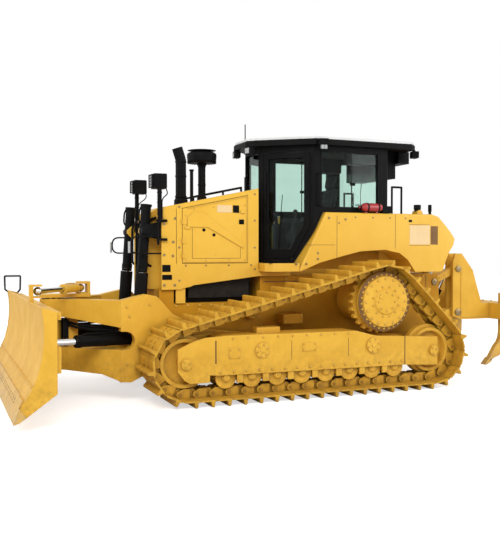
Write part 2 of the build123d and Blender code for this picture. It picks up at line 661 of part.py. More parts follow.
bottle_y = fender_half - 18
with BuildPart() as extinguisher:
    turned(((0, -40), (18, -40), (18, -4), (26, 0), (48, 24), (56, 50), (56, 260), (42, 296), (0, 310)),
           (-735, bottle_y, 2322), (-1, 0, 0))
    for x in (-800, -960):
        box(x - 15, x + 15, bottle_y - 47, fender_half, fender_top_z, 2322)
save(extinguisher.part, "extinguisher")

rail_y = fender_half - 160
# rails: (x, y, z) corners of each bent rail, both sides
RAILS = (
    ((1400, 330, hood_z(1400) + 3), (1400, 330, hood_z(1400) + 52), (760, 330, hood_z(760) + 52),
     (760, 330, hood_z(760) + 3)),
    ((-1290, rail_y, fender_top_z), (-1290, rail_y, 2610), (-1440, rail_y, 2610), (-1440, rail_y, 2440),
     (-1440, rail_y, fender_top_z)),
)
with BuildPart() as handrails:
    for side in SIDES:
        for corners in RAILS:
            for start, end in zip(corners, corners[1:]):
                rod((start[0], side * start[1], start[2]), (end[0], side * end[1], end[2]), 14)
            for x, y, z in corners[1:-1]:
                with Locations((x, side * y, z)):
                    Sphere(14)
save(handrails.part, "handrails")

# ----------------------------------------------------------------- blade frame
ARM = (                                 # X, Z of the arm's side outline
    (frame_pivot_x - 120, 500), (frame_pivot_x - 120, 625), (frame_pivot_x, 690), (1300, 800), (1780, 1010),
    (1900, 1150), (1975, 1225), (2090, 1250), (2230, 1222), (2400, 1183), (2400, 240), (2280, 232), (2160, 290),
    (2030, 400), (1850, 505), (1300, 655), (frame_pivot_x, 430),
)
nose_r = 132.0
UPPER, LOWER = (975.0, 1187.0), (350.0, 615.0)      # Z from and to of the nose at the swivel
fork_end = (2345.0, 718.0, 108.0)       # rounded rear end of the opening in each arm: X, Z, radius
with BuildPart() as c_frame:
    for side in SIDES:
        wall(ARM, side * arm_inner, side * arm_outer)
        cross_pin(frame_pivot_x, frame_pivot_z, side * arm_inner, side * arm_outer, 150)
        cross_pin(frame_pivot_x, frame_pivot_z, side * (arm_inner - 50), side * (arm_outer + 50),
                  70 + pin_gap, mode=Mode.SUBTRACT)
        for low, high in ((860.0, UPPER[1]), (235.0, LOWER[1])):
            slab(mirrored(((2395, arm_outer), (2395, 500), (swivel_x - 240, 60), (swivel_x, 60),
                           (swivel_x + 50, nose_r - 10), (swivel_x - 120, 210)), side), low, high)
        # opening between the upper and lower nose beams
        x, z, radius = fork_end
        cross_pin(x, z, side * (arm_inner - 10), side * (arm_outer + 10), radius, mode=Mode.SUBTRACT)
        box(x, 2410, side * (arm_inner - 10), side * (arm_outer + 10), z - radius, z + radius, mode=Mode.SUBTRACT)
        # lift rod brackets, inside the arms
        for near, far in ((lift_eye[1] - guard_tube_r - 29, lift_eye[1] - guard_tube_r - 9),
                          (lift_eye[1] + guard_tube_r + 9, arm_inner + 5)):
            wall(((lift_eye[0] - 55, 985), (lift_eye[0] - 55, 1025), (lift_eye[0] - 25, 1055),
                  (lift_eye[0] + 40, 1055), (2310, 1020), (2310, 870), (2230, 870), (lift_eye[0] + 10, 945)),
                 side * near, side * far)
        # cross web that carries the brackets and the angle cylinder pins
        box(2300, 2395, side * (arm_inner + 10), side * (lift_eye[1] - guard_tube_r - 29), 870, 1050)
        for low, high in ((angle_pin[2] - 75, angle_pin[2] - 50), (angle_pin[2] + 50, angle_pin[2] + 75)):
            slab(mirrored(((angle_pin[0] - 70, arm_inner + 10), (angle_pin[0] - 70, angle_pin[1] - 60),
                           (angle_pin[0] + 44, angle_pin[1] - 60), (angle_pin[0] + 44, arm_inner + 10)), side),
                 low, high)
        # relief in the arm beside the angle cylinder's barrel
        slab(mirrored(((2190, arm_inner - 1), (2401, arm_inner - 1), (2401, arm_inner + 98), (2190, arm_inner + 8)),
                      side), angle_pin[2] - 70, angle_pin[2] + 100, mode=Mode.SUBTRACT)
    # the upper beam's underside rises and the lower beam's underside rises towards the nose
    wall(((2401, 850), (2401, 872), (swivel_x - 130, UPPER[0]), (swivel_x + 200, UPPER[0]), (swivel_x + 200, 850)),
         -arm_outer - 5, arm_outer + 5, mode=Mode.SUBTRACT)
    wall(((2401, 225), (2401, 246), (2590, 322), (swivel_x - 130, LOWER[0]), (swivel_x + 200, LOWER[0]),
          (swivel_x + 200, 225)), -arm_outer - 5, arm_outer + 5, mode=Mode.SUBTRACT)
    for low, high in (UPPER, LOWER):
        slab(((swivel_x - 240, 65), (swivel_x - 240, -65), (swivel_x, -65), (swivel_x, 65)), low, high)
        post(swivel_x, 0, low, high, nose_r)
    box(swivel_x - 300, swivel_x - 180, -120, 120, LOWER[0] + 5, UPPER[1] - 5)
    post(swivel_x, 0, LOWER[0] - 5, UPPER[1] + 5, 75 + pin_gap, mode=Mode.SUBTRACT)
save(c_frame.part, "c_frame")

with BuildPart() as swivel_yoke:
    post(swivel_x, 0, LOWER[0] - 30, UPPER[1] + 45, 75)
    post(swivel_x, 0, LOWER[1] + gap, UPPER[0] - gap, 118)
    box(swivel_x, swivel_x + 122, -105, 105, LOWER[1] + gap, tilt_axis_z + 110)
    rod((swivel_x + 100, 0, tilt_axis_z), (swivel_x + 260, 0, tilt_axis_z), 70)
    # arm over the nose plate with the tilt cylinder's clevis at its end
    slab(((swivel_x + 120, 120), (swivel_x + 120, -120), (tilt_pin[0] - 110, -95), (tilt_pin[0] - 110, 95)),
         UPPER[1] + 15, UPPER[1] + 55)
    box(tilt_pin[0] - 105, tilt_pin[0] - 70, -90, 90, UPPER[1] + 50, tilt_pin[2] + 60)
    for low, high in ((tilt_pin[2] - 78, tilt_pin[2] - 52), (tilt_pin[2] + 52, tilt_pin[2] + 78)):
        slab(((tilt_pin[0] - 105, 85), (tilt_pin[0] - 105, -85), (tilt_pin[0] + 45, -60),
              (tilt_pin[0] + 45, 60)), low, high)
save(swivel_yoke.part, "swivel_yoke")

# ----------------------------------------------------------------- blade
FACE = ((3592, 310), (3520, 432), (3466, 560), (3428, 720), (3411, 870), (3409, 1000), (3416, 1100), (3432, 1200))
skin = 38.0
beam_rear = swivel_x + nose_r + 20      # rear faces of the blade's beams, clear of the nose
with BuildPart() as mouldboard:
    with BuildSketch(Plane((0, -(blade_half - 40), 0), x_dir=(1, 0, 0), z_dir=(0, -1, 0))) as outline:
        with BuildLine():
            back = [(x - skin, z) for x, z in FACE]
            Spline(*FACE)
            Line(FACE[-1], back[-1])
            Spline(*back[::-1])
            # lower lip behind the cutting edge
            Polyline(back[0], (3630, 132), (3672, 118), FACE[0])
        make_face()
    extrude(outline.sketch, amount=2 * (blade_half - 40), dir=(0, 1, 0))
    # box beams along the back: x rear, x front, z low, z high
    for x_rear, x_front, low, high in ((beam_rear, 3385, 1085, 1160), (beam_rear, 3395, 560, 820),
                                       (beam_rear + 75, 3530, 345, 450)):
        box(x_rear, x_front, -(blade_half - 40), blade_half - 40, low, high)
    for side in SIDES:
        # end plates
        wall(((3583, 150), (3285, 364), (3285, 1169), (3394, 1200), (3436, 1200), (3420, 1100), (3413, 1000),
              (3415, 870), (3432, 720), (3470, 560), (3524, 432), (3596, 310), (3640, 240)),
             side * (blade_half - 40), side * blade_half)
        # ribs between the beams
        for y in (330, 620, 1180, 1500):
            box(beam_rear + 10, 3385, side * (y - 14), side * (y + 14), 440, 1090)
        # plates that take the angle cylinder's rod end
        for y in (angle_eye[1] - 140, angle_eye[1] + 120):
            wall(((beam_rear - 55, 620), (beam_rear - 55, 850), (beam_rear + 20, 940), (3385, 940), (3385, 500),
                  (beam_rear + 20, 500)), side * y, side * (y + 20))
    # room round the ball of each angle cylinder's rod
    for side in SIDES:
        box(beam_rear - 20, angle_eye[0] + 92, side * (angle_eye[1] - 118), side * (angle_eye[1] + 118),
            angle_eye[2] - 190, angle_eye[2] + 180, mode=Mode.SUBTRACT)
    # tilt cylinder clevis on the top edge
    box(3394, 3430, tilt_eye[1] - 65, tilt_eye[1] + 65, 1180, tilt_eye[2] + 72)
    for low, high in ((tilt_eye[2] - 72, tilt_eye[2] - 54), (tilt_eye[2] + 54, tilt_eye[2] + 72)):
        box(tilt_eye[0] - 40, 3400, tilt_eye[1] - 60, tilt_eye[1] + 60, low, high)
    # centre hub on the tilt trunnion
    rod((beam_rear - 10, 0, tilt_axis_z), (3400, 0, tilt_axis_z), 125)
    rod((swivel_x + 120, 0, tilt_axis_z), (swivel_x + 270, 0, tilt_axis_z), 70 + pin_gap, mode=Mode.SUBTRACT)
save(mouldboard.part, "mouldboard")

with BuildPart() as cutting_edge:
    tip_x, tip_z = edge_tip
    wall((FACE[0], (FACE[0][0] + 20, 310), edge_tip, (tip_x - 14, tip_z - 6), (3672, 118)), -1480, 1480)
    for side in SIDES:
        wall((FACE[0], (FACE[0][0] + 30, 318), (tip_x, tip_z + 6), (tip_x - 24, tip_z - 9), (3672, 118)),
             side * 1484, side * (blade_half - 40))
        wall((edge_tip, (tip_x - 60, tip_z + 18), (3583, 150), (3640, 240), (3650, 252)),
             side * (blade_half - 40), side * blade_half)
save(cutting_edge.part, "cutting_edge")

# ----------------------------------------------------------------- hydraulic cylinders


def cylinder(name, base, eye, barrel_r, rod_r, behind, ahead, closes, opens, eye_r, ball=False,
             base_half=36.0, base_axis=(0, 1, 0), ball_base=False, eye_half=30.0):
    """Barrel hung at base and rod that ends in an eye.

    behind and ahead are the barrel's reach from base; closes and opens are the rod's travel from here.
    """
    start = along(base, eye, -behind)
    end = along(base, eye, ahead)
    axis = Vector(*base_axis)
    bore_from = max(end_wall - behind, end_wall)
    if behind > barrel_r:
        bore_from = end_wall - behind
    piston_at = bore_from + closes + gap
    with BuildPart() as barrel:
        rod(start, end, barrel_r)
        rod(along(base, eye, ahead - 60), along(base, eye, ahead), barrel_r + 6)
        if behind < 0:
            rod(base, start, barrel_r * 0.6)
        if behind > 0:
            rod(start, along(start, end, 30), barrel_r + 8)
        if ball_base:
            with Locations(base):
                Sphere(base_half)
        else:
            low = Vector(*base) - axis * base_half
            high = Vector(*base) + axis * base_half
            rod(tuple(low), tuple(high), barrel_r * 0.62 + 14)
        rod(along(base, eye, bore_from), along(base, eye, ahead + 5), rod_r + pin_gap, mode=Mode.SUBTRACT)
    save(barrel.part, name + "_barrel")
    reach = (Vector(*eye) - Vector(*base)).length
    with BuildPart() as piston_rod:
        rod(along(base, eye, piston_at), along(base, eye, reach - eye_r * 0.5), rod_r)
        with Locations(eye):
            if ball:
                Sphere(eye_r)
        if not ball:
            rod(tuple(Vector(*eye) - axis * eye_half), tuple(Vector(*eye) + axis * eye_half), eye_r)
    save(piston_rod.part, name + "_rod")


for side, name in ((1, "left"), (-1, "right")):
    def put(point):
        return point[0], side * point[1], point[2]
    cylinder(f"lift_{name}", put(lift_pin), put(lift_eye), lift_barrel_r, 34, 320, 470, 447, 226, 50,
             base_half=trunnion_half, eye_half=guard_tube_r + 5)
    # guard tube fixed to the rod's eye by its collar
    with BuildPart() as rod_guard:
        eye, pin = put(lift_eye), put(lift_pin)
        rod(along(eye, pin, 56), along(eye, pin, 480), guard_tube_r)
        rod(along(eye, pin, 68), along(eye, pin, 485), guard_tube_r - 7, mode=Mode.SUBTRACT)
        rod(along(eye, pin, 50), along(eye, pin, 75), 34, mode=Mode.SUBTRACT)
    save(rod_guard.part, f"lift_{name}_guard")
    cylinder(f"angle_{name}", put(angle_pin), put(angle_eye), 66, 38, -95, 828, 326, 326, 62, ball=True,
             base_axis=(0, 0, 1), base_half=44)
cylinder("tilt", tilt_pin, tilt_eye, 50, 30, -100, 440, 70, 70, 48, ball=True, base_half=48, ball_base=True)

# ----------------------------------------------------------------- ripper
lower_hull = (ripper_hull_x, ripper_lower_z)
upper_hull = (ripper_hull_x, ripper_lower_z + ripper_link_rise)
lower_back = (ripper_link_x, ripper_lower_z + ripper_link_lift)
upper_back = (ripper_link_x, lower_back[1] + ripper_link_rise)


def link_bar(front, back, y0, y1, half, hub_r):
    """Flat link with a boss at each end and a bore in the rear boss."""
    dx, dz = back[0] - front[0], back[1] - front[1]
    run = math.hypot(dx, dz)
    nx, nz = -dz / run * half, dx / run * half
    wall(((front[0] + nx, front[1] + nz), (back[0] + nx, back[1] + nz), (back[0] - nx, back[1] - nz),
          (front[0] - nx, front[1] - nz)), y0, y1)
    for x, z in (front, back):
        cross_pin(x, z, y0, y1, hub_r)


with BuildPart() as ripper_lower_link:
    for side in SIDES:
        link_bar(lower_hull, lower_back, side * 296, side * 384, 60, 78)
    box(-2400, -2300, -300, 300, 770, 830)
save(ripper_lower_link.part, "ripper_lower_link")

with BuildPart() as ripper_upper_link:
    for side in SIDES:
        link_bar(upper_hull, upper_back, side * 296, side * 384, 48, 66)
save(ripper_upper_link.part, "ripper_upper_link")

with BuildPart() as ripper_frame:
    for side in SIDES:
        for near, far in ((250, 290), (390, 430)):
            wall(((ripper_link_x + 90, 830), (ripper_link_x + 90, 1600), (ripper_link_x + 50, 1720),
                  (ripper_link_x - 60, 1720), (-2800, 1480), (-2960, 1000), (-3150, 1000), (-3150, 775),
                  (ripper_link_x - 60, 775)), side * near, side * far)
    box(-3150, -2950, -430, 430, 775, 1000)
    # tool beam
    box(beam_x - beam_depth / 2, beam_x + beam_depth / 2, -beam_half, beam_half, beam_z - 112, beam_z + 113)
    for y in (-shank_y, 0, shank_y):
        box(beam_x - 75, beam_x + 75, y - 48, y + 48, beam_z - 200, beam_z + 200, mode=Mode.SUBTRACT)
    box(-2990, -2900, -250, 250, 1000, 1180)
save(ripper_frame.part, "ripper_frame")

SHANK = (                   # X, Z: straight in the beam, then curved forward to the tip
    (beam_x - 75, beam_z + 260), (beam_x + 75, beam_z + 260), (beam_x + 75, 590), (beam_x + 88, 505),
    (beam_x + 120, 440), (beam_x + 175, 385), (beam_x + 255, 258), (beam_x + 300, 195), (beam_x + 350, 145),
    (beam_x + 330, 140), (beam_x + 273, 172), (beam_x + 201, 214), (beam_x + 110, 245), (beam_x + 20, 305),
    (beam_x - 45, 395), (beam_x - 75, 510),
)
SHANK_TIP = ((beam_x + 378, 126), (beam_x + 290, 225), (beam_x + 240, 200), (beam_x + 268, 160), (beam_x + 350, 122))
with BuildPart() as ripper_shanks:
    for y in (-shank_y, shank_y):
        wall(SHANK, y - 37, y + 37)
        wall(SHANK_TIP, y - 48, y + 48)
save(ripper_shanks.part, "ripper_shanks")

ripper_pin = (ripper_hull_x + 5, 180.0, 760.0)
ripper_eye = (ripper_link_x - 30, 180.0, 1570.0)
for side, name in ((1, "left"), (-1, "right")):
    def put(point):
        return point[0], side * point[1], point[2]
    cylinder(f"ripper_{name}", put(ripper_pin), put(ripper_eye), 56, 34, 0, 505, 341, 54, 52)
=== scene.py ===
"""Crawler bulldozer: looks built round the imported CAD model. Metres, X forward, Y left, Z up.

Points are given in stations: millimetres along the machine, across it and up, as on its drawing.
What is the same on both sides is drawn on the left, then mirrored.
"""
import bmesh
import bpy
import math
from mathutils import Matrix, Vector

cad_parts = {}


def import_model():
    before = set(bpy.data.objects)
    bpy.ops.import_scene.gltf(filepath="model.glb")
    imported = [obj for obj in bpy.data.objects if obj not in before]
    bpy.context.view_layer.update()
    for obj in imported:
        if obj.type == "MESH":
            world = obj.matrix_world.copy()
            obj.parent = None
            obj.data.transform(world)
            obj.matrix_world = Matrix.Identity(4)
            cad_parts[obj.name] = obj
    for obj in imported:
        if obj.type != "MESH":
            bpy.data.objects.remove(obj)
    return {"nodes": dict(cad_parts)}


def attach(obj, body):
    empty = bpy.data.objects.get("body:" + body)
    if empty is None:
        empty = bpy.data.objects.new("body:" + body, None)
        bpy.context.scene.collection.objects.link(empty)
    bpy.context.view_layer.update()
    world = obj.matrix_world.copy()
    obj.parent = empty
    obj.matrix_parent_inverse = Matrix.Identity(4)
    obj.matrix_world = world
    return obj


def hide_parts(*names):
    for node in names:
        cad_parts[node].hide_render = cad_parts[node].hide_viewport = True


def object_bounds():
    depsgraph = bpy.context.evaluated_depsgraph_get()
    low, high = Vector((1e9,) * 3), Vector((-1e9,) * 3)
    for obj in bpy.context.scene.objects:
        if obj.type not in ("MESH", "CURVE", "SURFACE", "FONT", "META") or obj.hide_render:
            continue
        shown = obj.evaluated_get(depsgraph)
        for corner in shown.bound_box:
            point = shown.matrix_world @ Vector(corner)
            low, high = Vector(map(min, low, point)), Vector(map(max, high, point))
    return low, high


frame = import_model()
cad_low, cad_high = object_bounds()
ORIGIN_X = 130.0            # station of the model's origin
SIDES = (1, -1)
LEFT, UP = (0, 1, 0), (0, 0, 1)


def V(x, y, z):
    """Point given in stations."""
    return Vector(((x - ORIGIN_X) / 1000.0, y / 1000.0, z / 1000.0))


def mm(*point):
    """Point of a local frame, given in millimetres."""
    return Vector(point) / 1000


def turns(count):
    """Angles evenly round a circle."""
    return [2 * math.pi * i / count for i in range(count)]


# ------------------------------------------------------------------ materials
def node_tree(name):
    material = bpy.data.materials.new(name)
    material.use_nodes = True
    tree = material.node_tree
    return material, tree, tree.nodes["Principled BSDF"]


def wire(node, inputs):
    """Link sources to a node's inputs, or set their constants there."""
    for key, value in inputs.items():
        socket = node.inputs[key]
        if isinstance(value, bpy.types.NodeSocket):
            node.id_data.links.new(value, socket)
        else:
            socket.default_value = (*value, 1) if socket.type == "RGBA" else value


def add_node(tree, kind, inputs, **settings):
    node = tree.nodes.new("ShaderNode" + kind)
    for name, value in settings.items():
        setattr(node, name, value)
    wire(node, inputs)
    return node


def ramp(tree, source, *stops):
    """Ramp of two stops, each a place and a colour, or a number for a grey."""
    node = add_node(tree, "ValToRGB", {"Fac": source})
    for element, (place, colour) in zip(node.color_ramp.elements, stops):
        element.position = place
        element.color = (*colour, 1) if isinstance(colour, tuple) else (colour, colour, colour, 1)
    return node.outputs["Color"]


def noise(tree, coords, scale, detail=4.0, rough=0.55, distort=0.0):
    return add_node(tree, "TexNoise", {"Vector": coords, "Scale": scale, "Detail": detail, "Roughness": rough,
                                       "Distortion": distort}).outputs["Fac"]


def wave(tree, coords, direction, scale, distort):
    return add_node(tree, "TexWave", {"Vector": coords, "Scale": scale, "Distortion": distort},
                    bands_direction=direction).outputs["Fac"]


def mixed(tree, factor, a, b):
    return add_node(tree, "Mix", {0: factor, 6: a, 7: b}, data_type="RGBA").outputs[2]


def math_node(tree, operation, a, b):
    return add_node(tree, "Math", {0: a, 1: b}, operation=operation).outputs[0]


def coordinates(tree):
    return add_node(tree, "TexCoord", {}).outputs["Object"]


def relief(tree, shader, height, strength, distance, normal=None):
    """Bump on a shader, over a normal if one is given."""
    bump = add_node(tree, "Bump", {"Height": height, "Strength": strength, "Distance": distance})
    if normal:
        wire(bump, {"Normal": normal})
    wire(shader, {"Normal": bump.outputs["Normal"]})


def edge_mask(tree, radius):
    """White where a rounded edge's normal leaves the face's own, and that normal."""
    rounded = add_node(tree, "Bevel", {"Radius": radius}, samples=4).outputs["Normal"]
    flat = add_node(tree, "NewGeometry", {}).outputs["True Normal"]
    dot = add_node(tree, "VectorMath", {0: rounded, 1: flat}, operation="DOT_PRODUCT").outputs["Value"]
    return math_node(tree, "MULTIPLY", math_node(tree, "SUBTRACT", 1.0, dot), 5.0), rounded


def woven(tree, coords):
    """Height of a plain weave, crossed sets of threads about 2 mm apart."""
    x, y, z = (wave(tree, coords, direction, 160.0, 0.3) for direction in "XYZ")
    return math_node(tree, "MAXIMUM", math_node(tree, "MAXIMUM", x, y), z)


def surface(name, base, shade, rough=0.4, metal=0.0, spread=0.10, grain=60.0, bump=0.05, edge=None,
            edge_radius=0.004, dust=None, dust_height=1.2, coat=0.0, streaks=False, mottle=6.0, crevice_shade=0.0,
            specular=0.5, weave=False):
    """Paint, cast or moulded surface: colour patches, dust, worn edges, painted shade in crevices, uneven
    gloss and fine bump.
    """
    material, tree, shader = node_tree(name)
    coords = coordinates(tree)
    patches = noise(tree, coords, mottle, 5.0, 0.6, 0.4)
    fine = noise(tree, coords, grain, 3.0, 0.6)
    colour = mixed(tree, ramp(tree, patches, (0.35, 0), (0.72, 1)), base, shade)
    normal = None
    if streaks:
        tall = add_node(tree, "Mapping", {"Vector": coords, "Scale": (9, 9, 0.8)}).outputs["Vector"]
        runs = noise(tree, tall, 3.0, 4.0, 0.6)
        colour = mixed(tree, ramp(tree, runs, (0.50, 0), (0.75, 0.35)), colour, shade)
    if edge:
        mask, normal = edge_mask(tree, edge_radius)
        worn = math_node(tree, "MULTIPLY", mask, ramp(tree, fine, (0.42, 0), (0.62, 1)))
        worn.node.use_clamp = True
        colour = mixed(tree, worn, colour, edge)
    # Painted shade: in crevices and corners, found by ambient occlusion, the colour darkens toward a deep
    # tone of the paint.
    if crevice_shade:
        occlusion = add_node(tree, "AmbientOcclusion", {"Distance": 0.09}, samples=4).outputs["AO"]
        colour = mixed(tree, ramp(tree, occlusion, (0.25, crevice_shade), (0.85, 0)), colour,
                       tuple(c * 0.35 for c in shade))
    if dust:
        position = add_node(tree, "NewGeometry", {}).outputs["Position"]
        height = add_node(tree, "SeparateXYZ", {0: position}).outputs["Z"]
        low = ramp(tree, math_node(tree, "DIVIDE", height, dust_height), (0.0, 0.85), (1.0, 0))
        spots = ramp(tree, noise(tree, coords, 14.0, 6.0, 0.7), (0.40, 0), (0.66, 1))
        colour = mixed(tree, math_node(tree, "MULTIPLY", low, spots), colour, dust)
    if coat:
        wire(shader, {"Coat Weight": coat, "Coat Roughness": 0.12})
    gloss = add_node(tree, "MapRange", {"Value": patches, "To Min": max(0.03, rough - spread),
                                        "To Max": min(1.0, rough + spread)}).outputs["Result"]
    wire(shader, {"Base Color": colour, "Metallic": metal, "Specular IOR Level": specular,
                  "Roughness": gloss})
    relief(tree, shader, woven(tree, coords) if weave else fine, bump, 0.002, normal)
    return material


def chrome_material():
    material, tree, shader = node_tree("chrome_rod")
    coords = coordinates(tree)
    streak = noise(tree, coords, 35.0, 3.0, 0.5)
    wire(shader, {"Base Color": ramp(tree, streak, (0.3, (0.60, 0.60, 0.58)), (0.7, (0.74, 0.74, 0.72))),
                  "Roughness": ramp(tree, noise(tree, coords, 140.0, 3.0, 0.6), (0.3, 0.10), (0.7, 0.22)),
                  "Metallic": 1.0})
    relief(tree, shader, noise(tree, coords, 700.0, 2.0), 0.03, 0.0005)
    return material


def glass_material(tint):
    """Green-tinted pane, see-through, with a faint film of dust."""
    material, tree, shader = node_tree("tinted_glass")
    film = noise(tree, coordinates(tree), 3.0, 6.0, 0.65)
    wire(shader, {"Base Color": ramp(tree, film, (0.3, tint), (0.8, tuple(c * 0.93 for c in tint))),
                  "Roughness": ramp(tree, film, (0.4, 0.015), (0.8, 0.06)), "IOR": 1.2,
                  "Transmission Weight": 1.0})
    relief(tree, shader, film, 0.02, 0.001)
    return material


def lens_material():
    """Ribbed clear lens over a bright reflector."""
    material, tree, shader = node_tree("lamp_lens")
    ribs = wave(tree, coordinates(tree), "Y", 30.0, 0.4)
    wire(shader, {"Base Color": ramp(tree, ribs, (0.2, (0.26, 0.27, 0.28)), (0.8, (0.46, 0.47, 0.47))),
                  "Roughness": 0.12, "Metallic": 0.2})
    relief(tree, shader, ribs, 0.4, 0.002)
    return material


SOIL = (0.34, 0.18, 0.03)
M = {
    "yellow": surface("yellow_paint", (0.82, 0.490, 0.058), (0.76, 0.430, 0.040), 0.36, grain=220, bump=0.03,
                      edge=(0.90, 0.62, 0.20), edge_radius=0.006, streaks=True, mottle=1.6, crevice_shade=0.4,
                      specular=0.3),
    "yellow_low": surface("yellow_low", (0.80, 0.460, 0.050), (0.68, 0.370, 0.032), 0.48, grain=160,
                          bump=0.06, edge=(0.88, 0.58, 0.17), edge_radius=0.008, dust=SOIL, dust_height=0.7,
                          mottle=3.0, streaks=True, crevice_shade=0.55, specular=0.25),
    # Hull: the yellow paint darkened as painted shade, for the frame between the tracks and the skirts under
    # the cab floor; dust lies on its low parts.
    "shaded_hull": surface("hull_shaded_paint", (0.56, 0.27, 0.014), (0.46, 0.21, 0.010), 0.55, grain=140, bump=0.08,
                    edge=(0.74, 0.42, 0.07), edge_radius=0.008, dust=SOIL, dust_height=1.0, mottle=3.0,
                    crevice_shade=0.7, specular=0.15),
    "track": surface("track_steel", (0.68, 0.375, 0.034), (0.50, 0.262, 0.024), 0.52, spread=0.14, grain=90,
                     bump=0.16, edge=(0.82, 0.54, 0.16), edge_radius=0.006, dust=SOIL, dust_height=0.7,
                     mottle=9.0, crevice_shade=0.75, specular=0.2),
    "track_dark": surface("track_dark", (0.42, 0.22, 0.03), (0.26, 0.14, 0.025), 0.55, metal=0.1, grain=90,
                          bump=0.2, edge=(0.58, 0.38, 0.14), dust=SOIL, mottle=12.0, crevice_shade=0.5,
                          specular=0.2),
    "black": surface("black_paint", (0.0050, 0.0048, 0.0050), (0.0085, 0.0082, 0.0085), 0.48, grain=240,
                     bump=0.03, edge=(0.022, 0.021, 0.021), mottle=5.0, specular=0.06),
    "rubber": surface("rubber", (0.006, 0.006, 0.0065), (0.011, 0.0105, 0.010), 0.72, grain=320, bump=0.12,
                      mottle=18.0, specular=0.12),
    "plastic": surface("control_plastic", (0.016, 0.016, 0.018), (0.028, 0.027, 0.028), 0.55, grain=500,
                       bump=0.15, mottle=12.0, specular=0.15),
    "engine": surface("engine_black", (0.011, 0.0105, 0.010), (0.028, 0.023, 0.017), 0.6, metal=0.1,
                      grain=120, bump=0.25, edge=(0.06, 0.055, 0.05), mottle=9.0, specular=0.12),
    "steel": surface("bolt_steel", (0.36, 0.26, 0.13), (0.24, 0.16, 0.07), 0.42, metal=0.6, grain=200,
                     bump=0.08, mottle=20.0),
    "worn": surface("worn_edge", (0.74, 0.43, 0.060), (0.52, 0.30, 0.06), 0.45, grain=80, bump=0.12,
                    edge=(0.66, 0.58, 0.44), edge_radius=0.014, dust=(0.42, 0.34, 0.24), dust_height=0.30,
                    mottle=7.0, crevice_shade=0.3),
    # Roof rim: pale grey, a painted highlight of the sky along the edge of the black roof.
    "rim_highlight": surface("roof_rim_highlight", (0.72, 0.73, 0.72), (0.62, 0.63, 0.62), 0.32, grain=200, bump=0.02, coat=0.3,
                   edge=(0.80, 0.80, 0.79), mottle=3.0),
    "plate": surface("bare_plate", (0.80, 0.58, 0.30), (0.76, 0.53, 0.24), 0.5, grain=300, bump=0.03,
                     edge=(0.85, 0.68, 0.42), mottle=4.0),
    "red": surface("red_paint", (0.42, 0.014, 0.016), (0.30, 0.010, 0.012), 0.25, grain=200, bump=0.02,
                   edge=(0.55, 0.10, 0.08), coat=0.5, mottle=7.0),
    "fabric": surface("seat_fabric", (0.020, 0.020, 0.023), (0.038, 0.038, 0.041), 0.85, grain=900, bump=0.5,
                      mottle=40.0, weave=True),
    "hose": surface("hose", (0.006, 0.006, 0.0066), (0.010, 0.0098, 0.0098), 0.5, grain=500, bump=0.2,
                    mottle=30.0, specular=0.08),
    "silver": surface("silver", (0.55, 0.55, 0.54), (0.42, 0.42, 0.41), 0.3, metal=0.9, grain=200, bump=0.04,
                      mottle=10.0),
    # Dark brown for seams, and as painted shade for the hub's gap and the frames' slots.
    "brown": surface("dark_seam_and_painted_shade", (0.20, 0.09, 0.015), (0.13, 0.06, 0.012), 0.6, grain=150, bump=0.1,
                     mottle=8.0),
    "chrome": chrome_material(), "glass": glass_material((0.70, 0.855, 0.795)), "lens": lens_material(),
}
NODES_OF = {                # material: its CAD nodes; other barrels are black, rods chrome, the rest yellow
    "black": "front_grille exhaust_stack precleaner front_lamps handrails cab_frame cab_roof roof_lamps "
             "door_left door_right lift_left_guard lift_right_guard",
    "glass": "cab_glass door_glass_left door_glass_right",
    "plastic": "operator_seat console",
    "yellow_low": "track_frames final_drives idlers_rollers c_frame swivel_yoke mouldboard tilt_barrel "
                  "ripper_frame ripper_lower_link ripper_upper_link",
    "worn": "cutting_edge ripper_shanks",
    "engine": "engine_block", "shaded_hull": "main_frame", "red": "extinguisher", "track": "tracks",
}
look_of = {node: look for look, nodes in NODES_OF.items() for node in nodes.split()}
for name, node in frame["nodes"].items():
    usual = "black" if name.endswith("_barrel") else "chrome" if name.endswith("_rod") else "yellow"
    for place in node.material_slots:
        place.material = M[look_of.get(name, usual)]




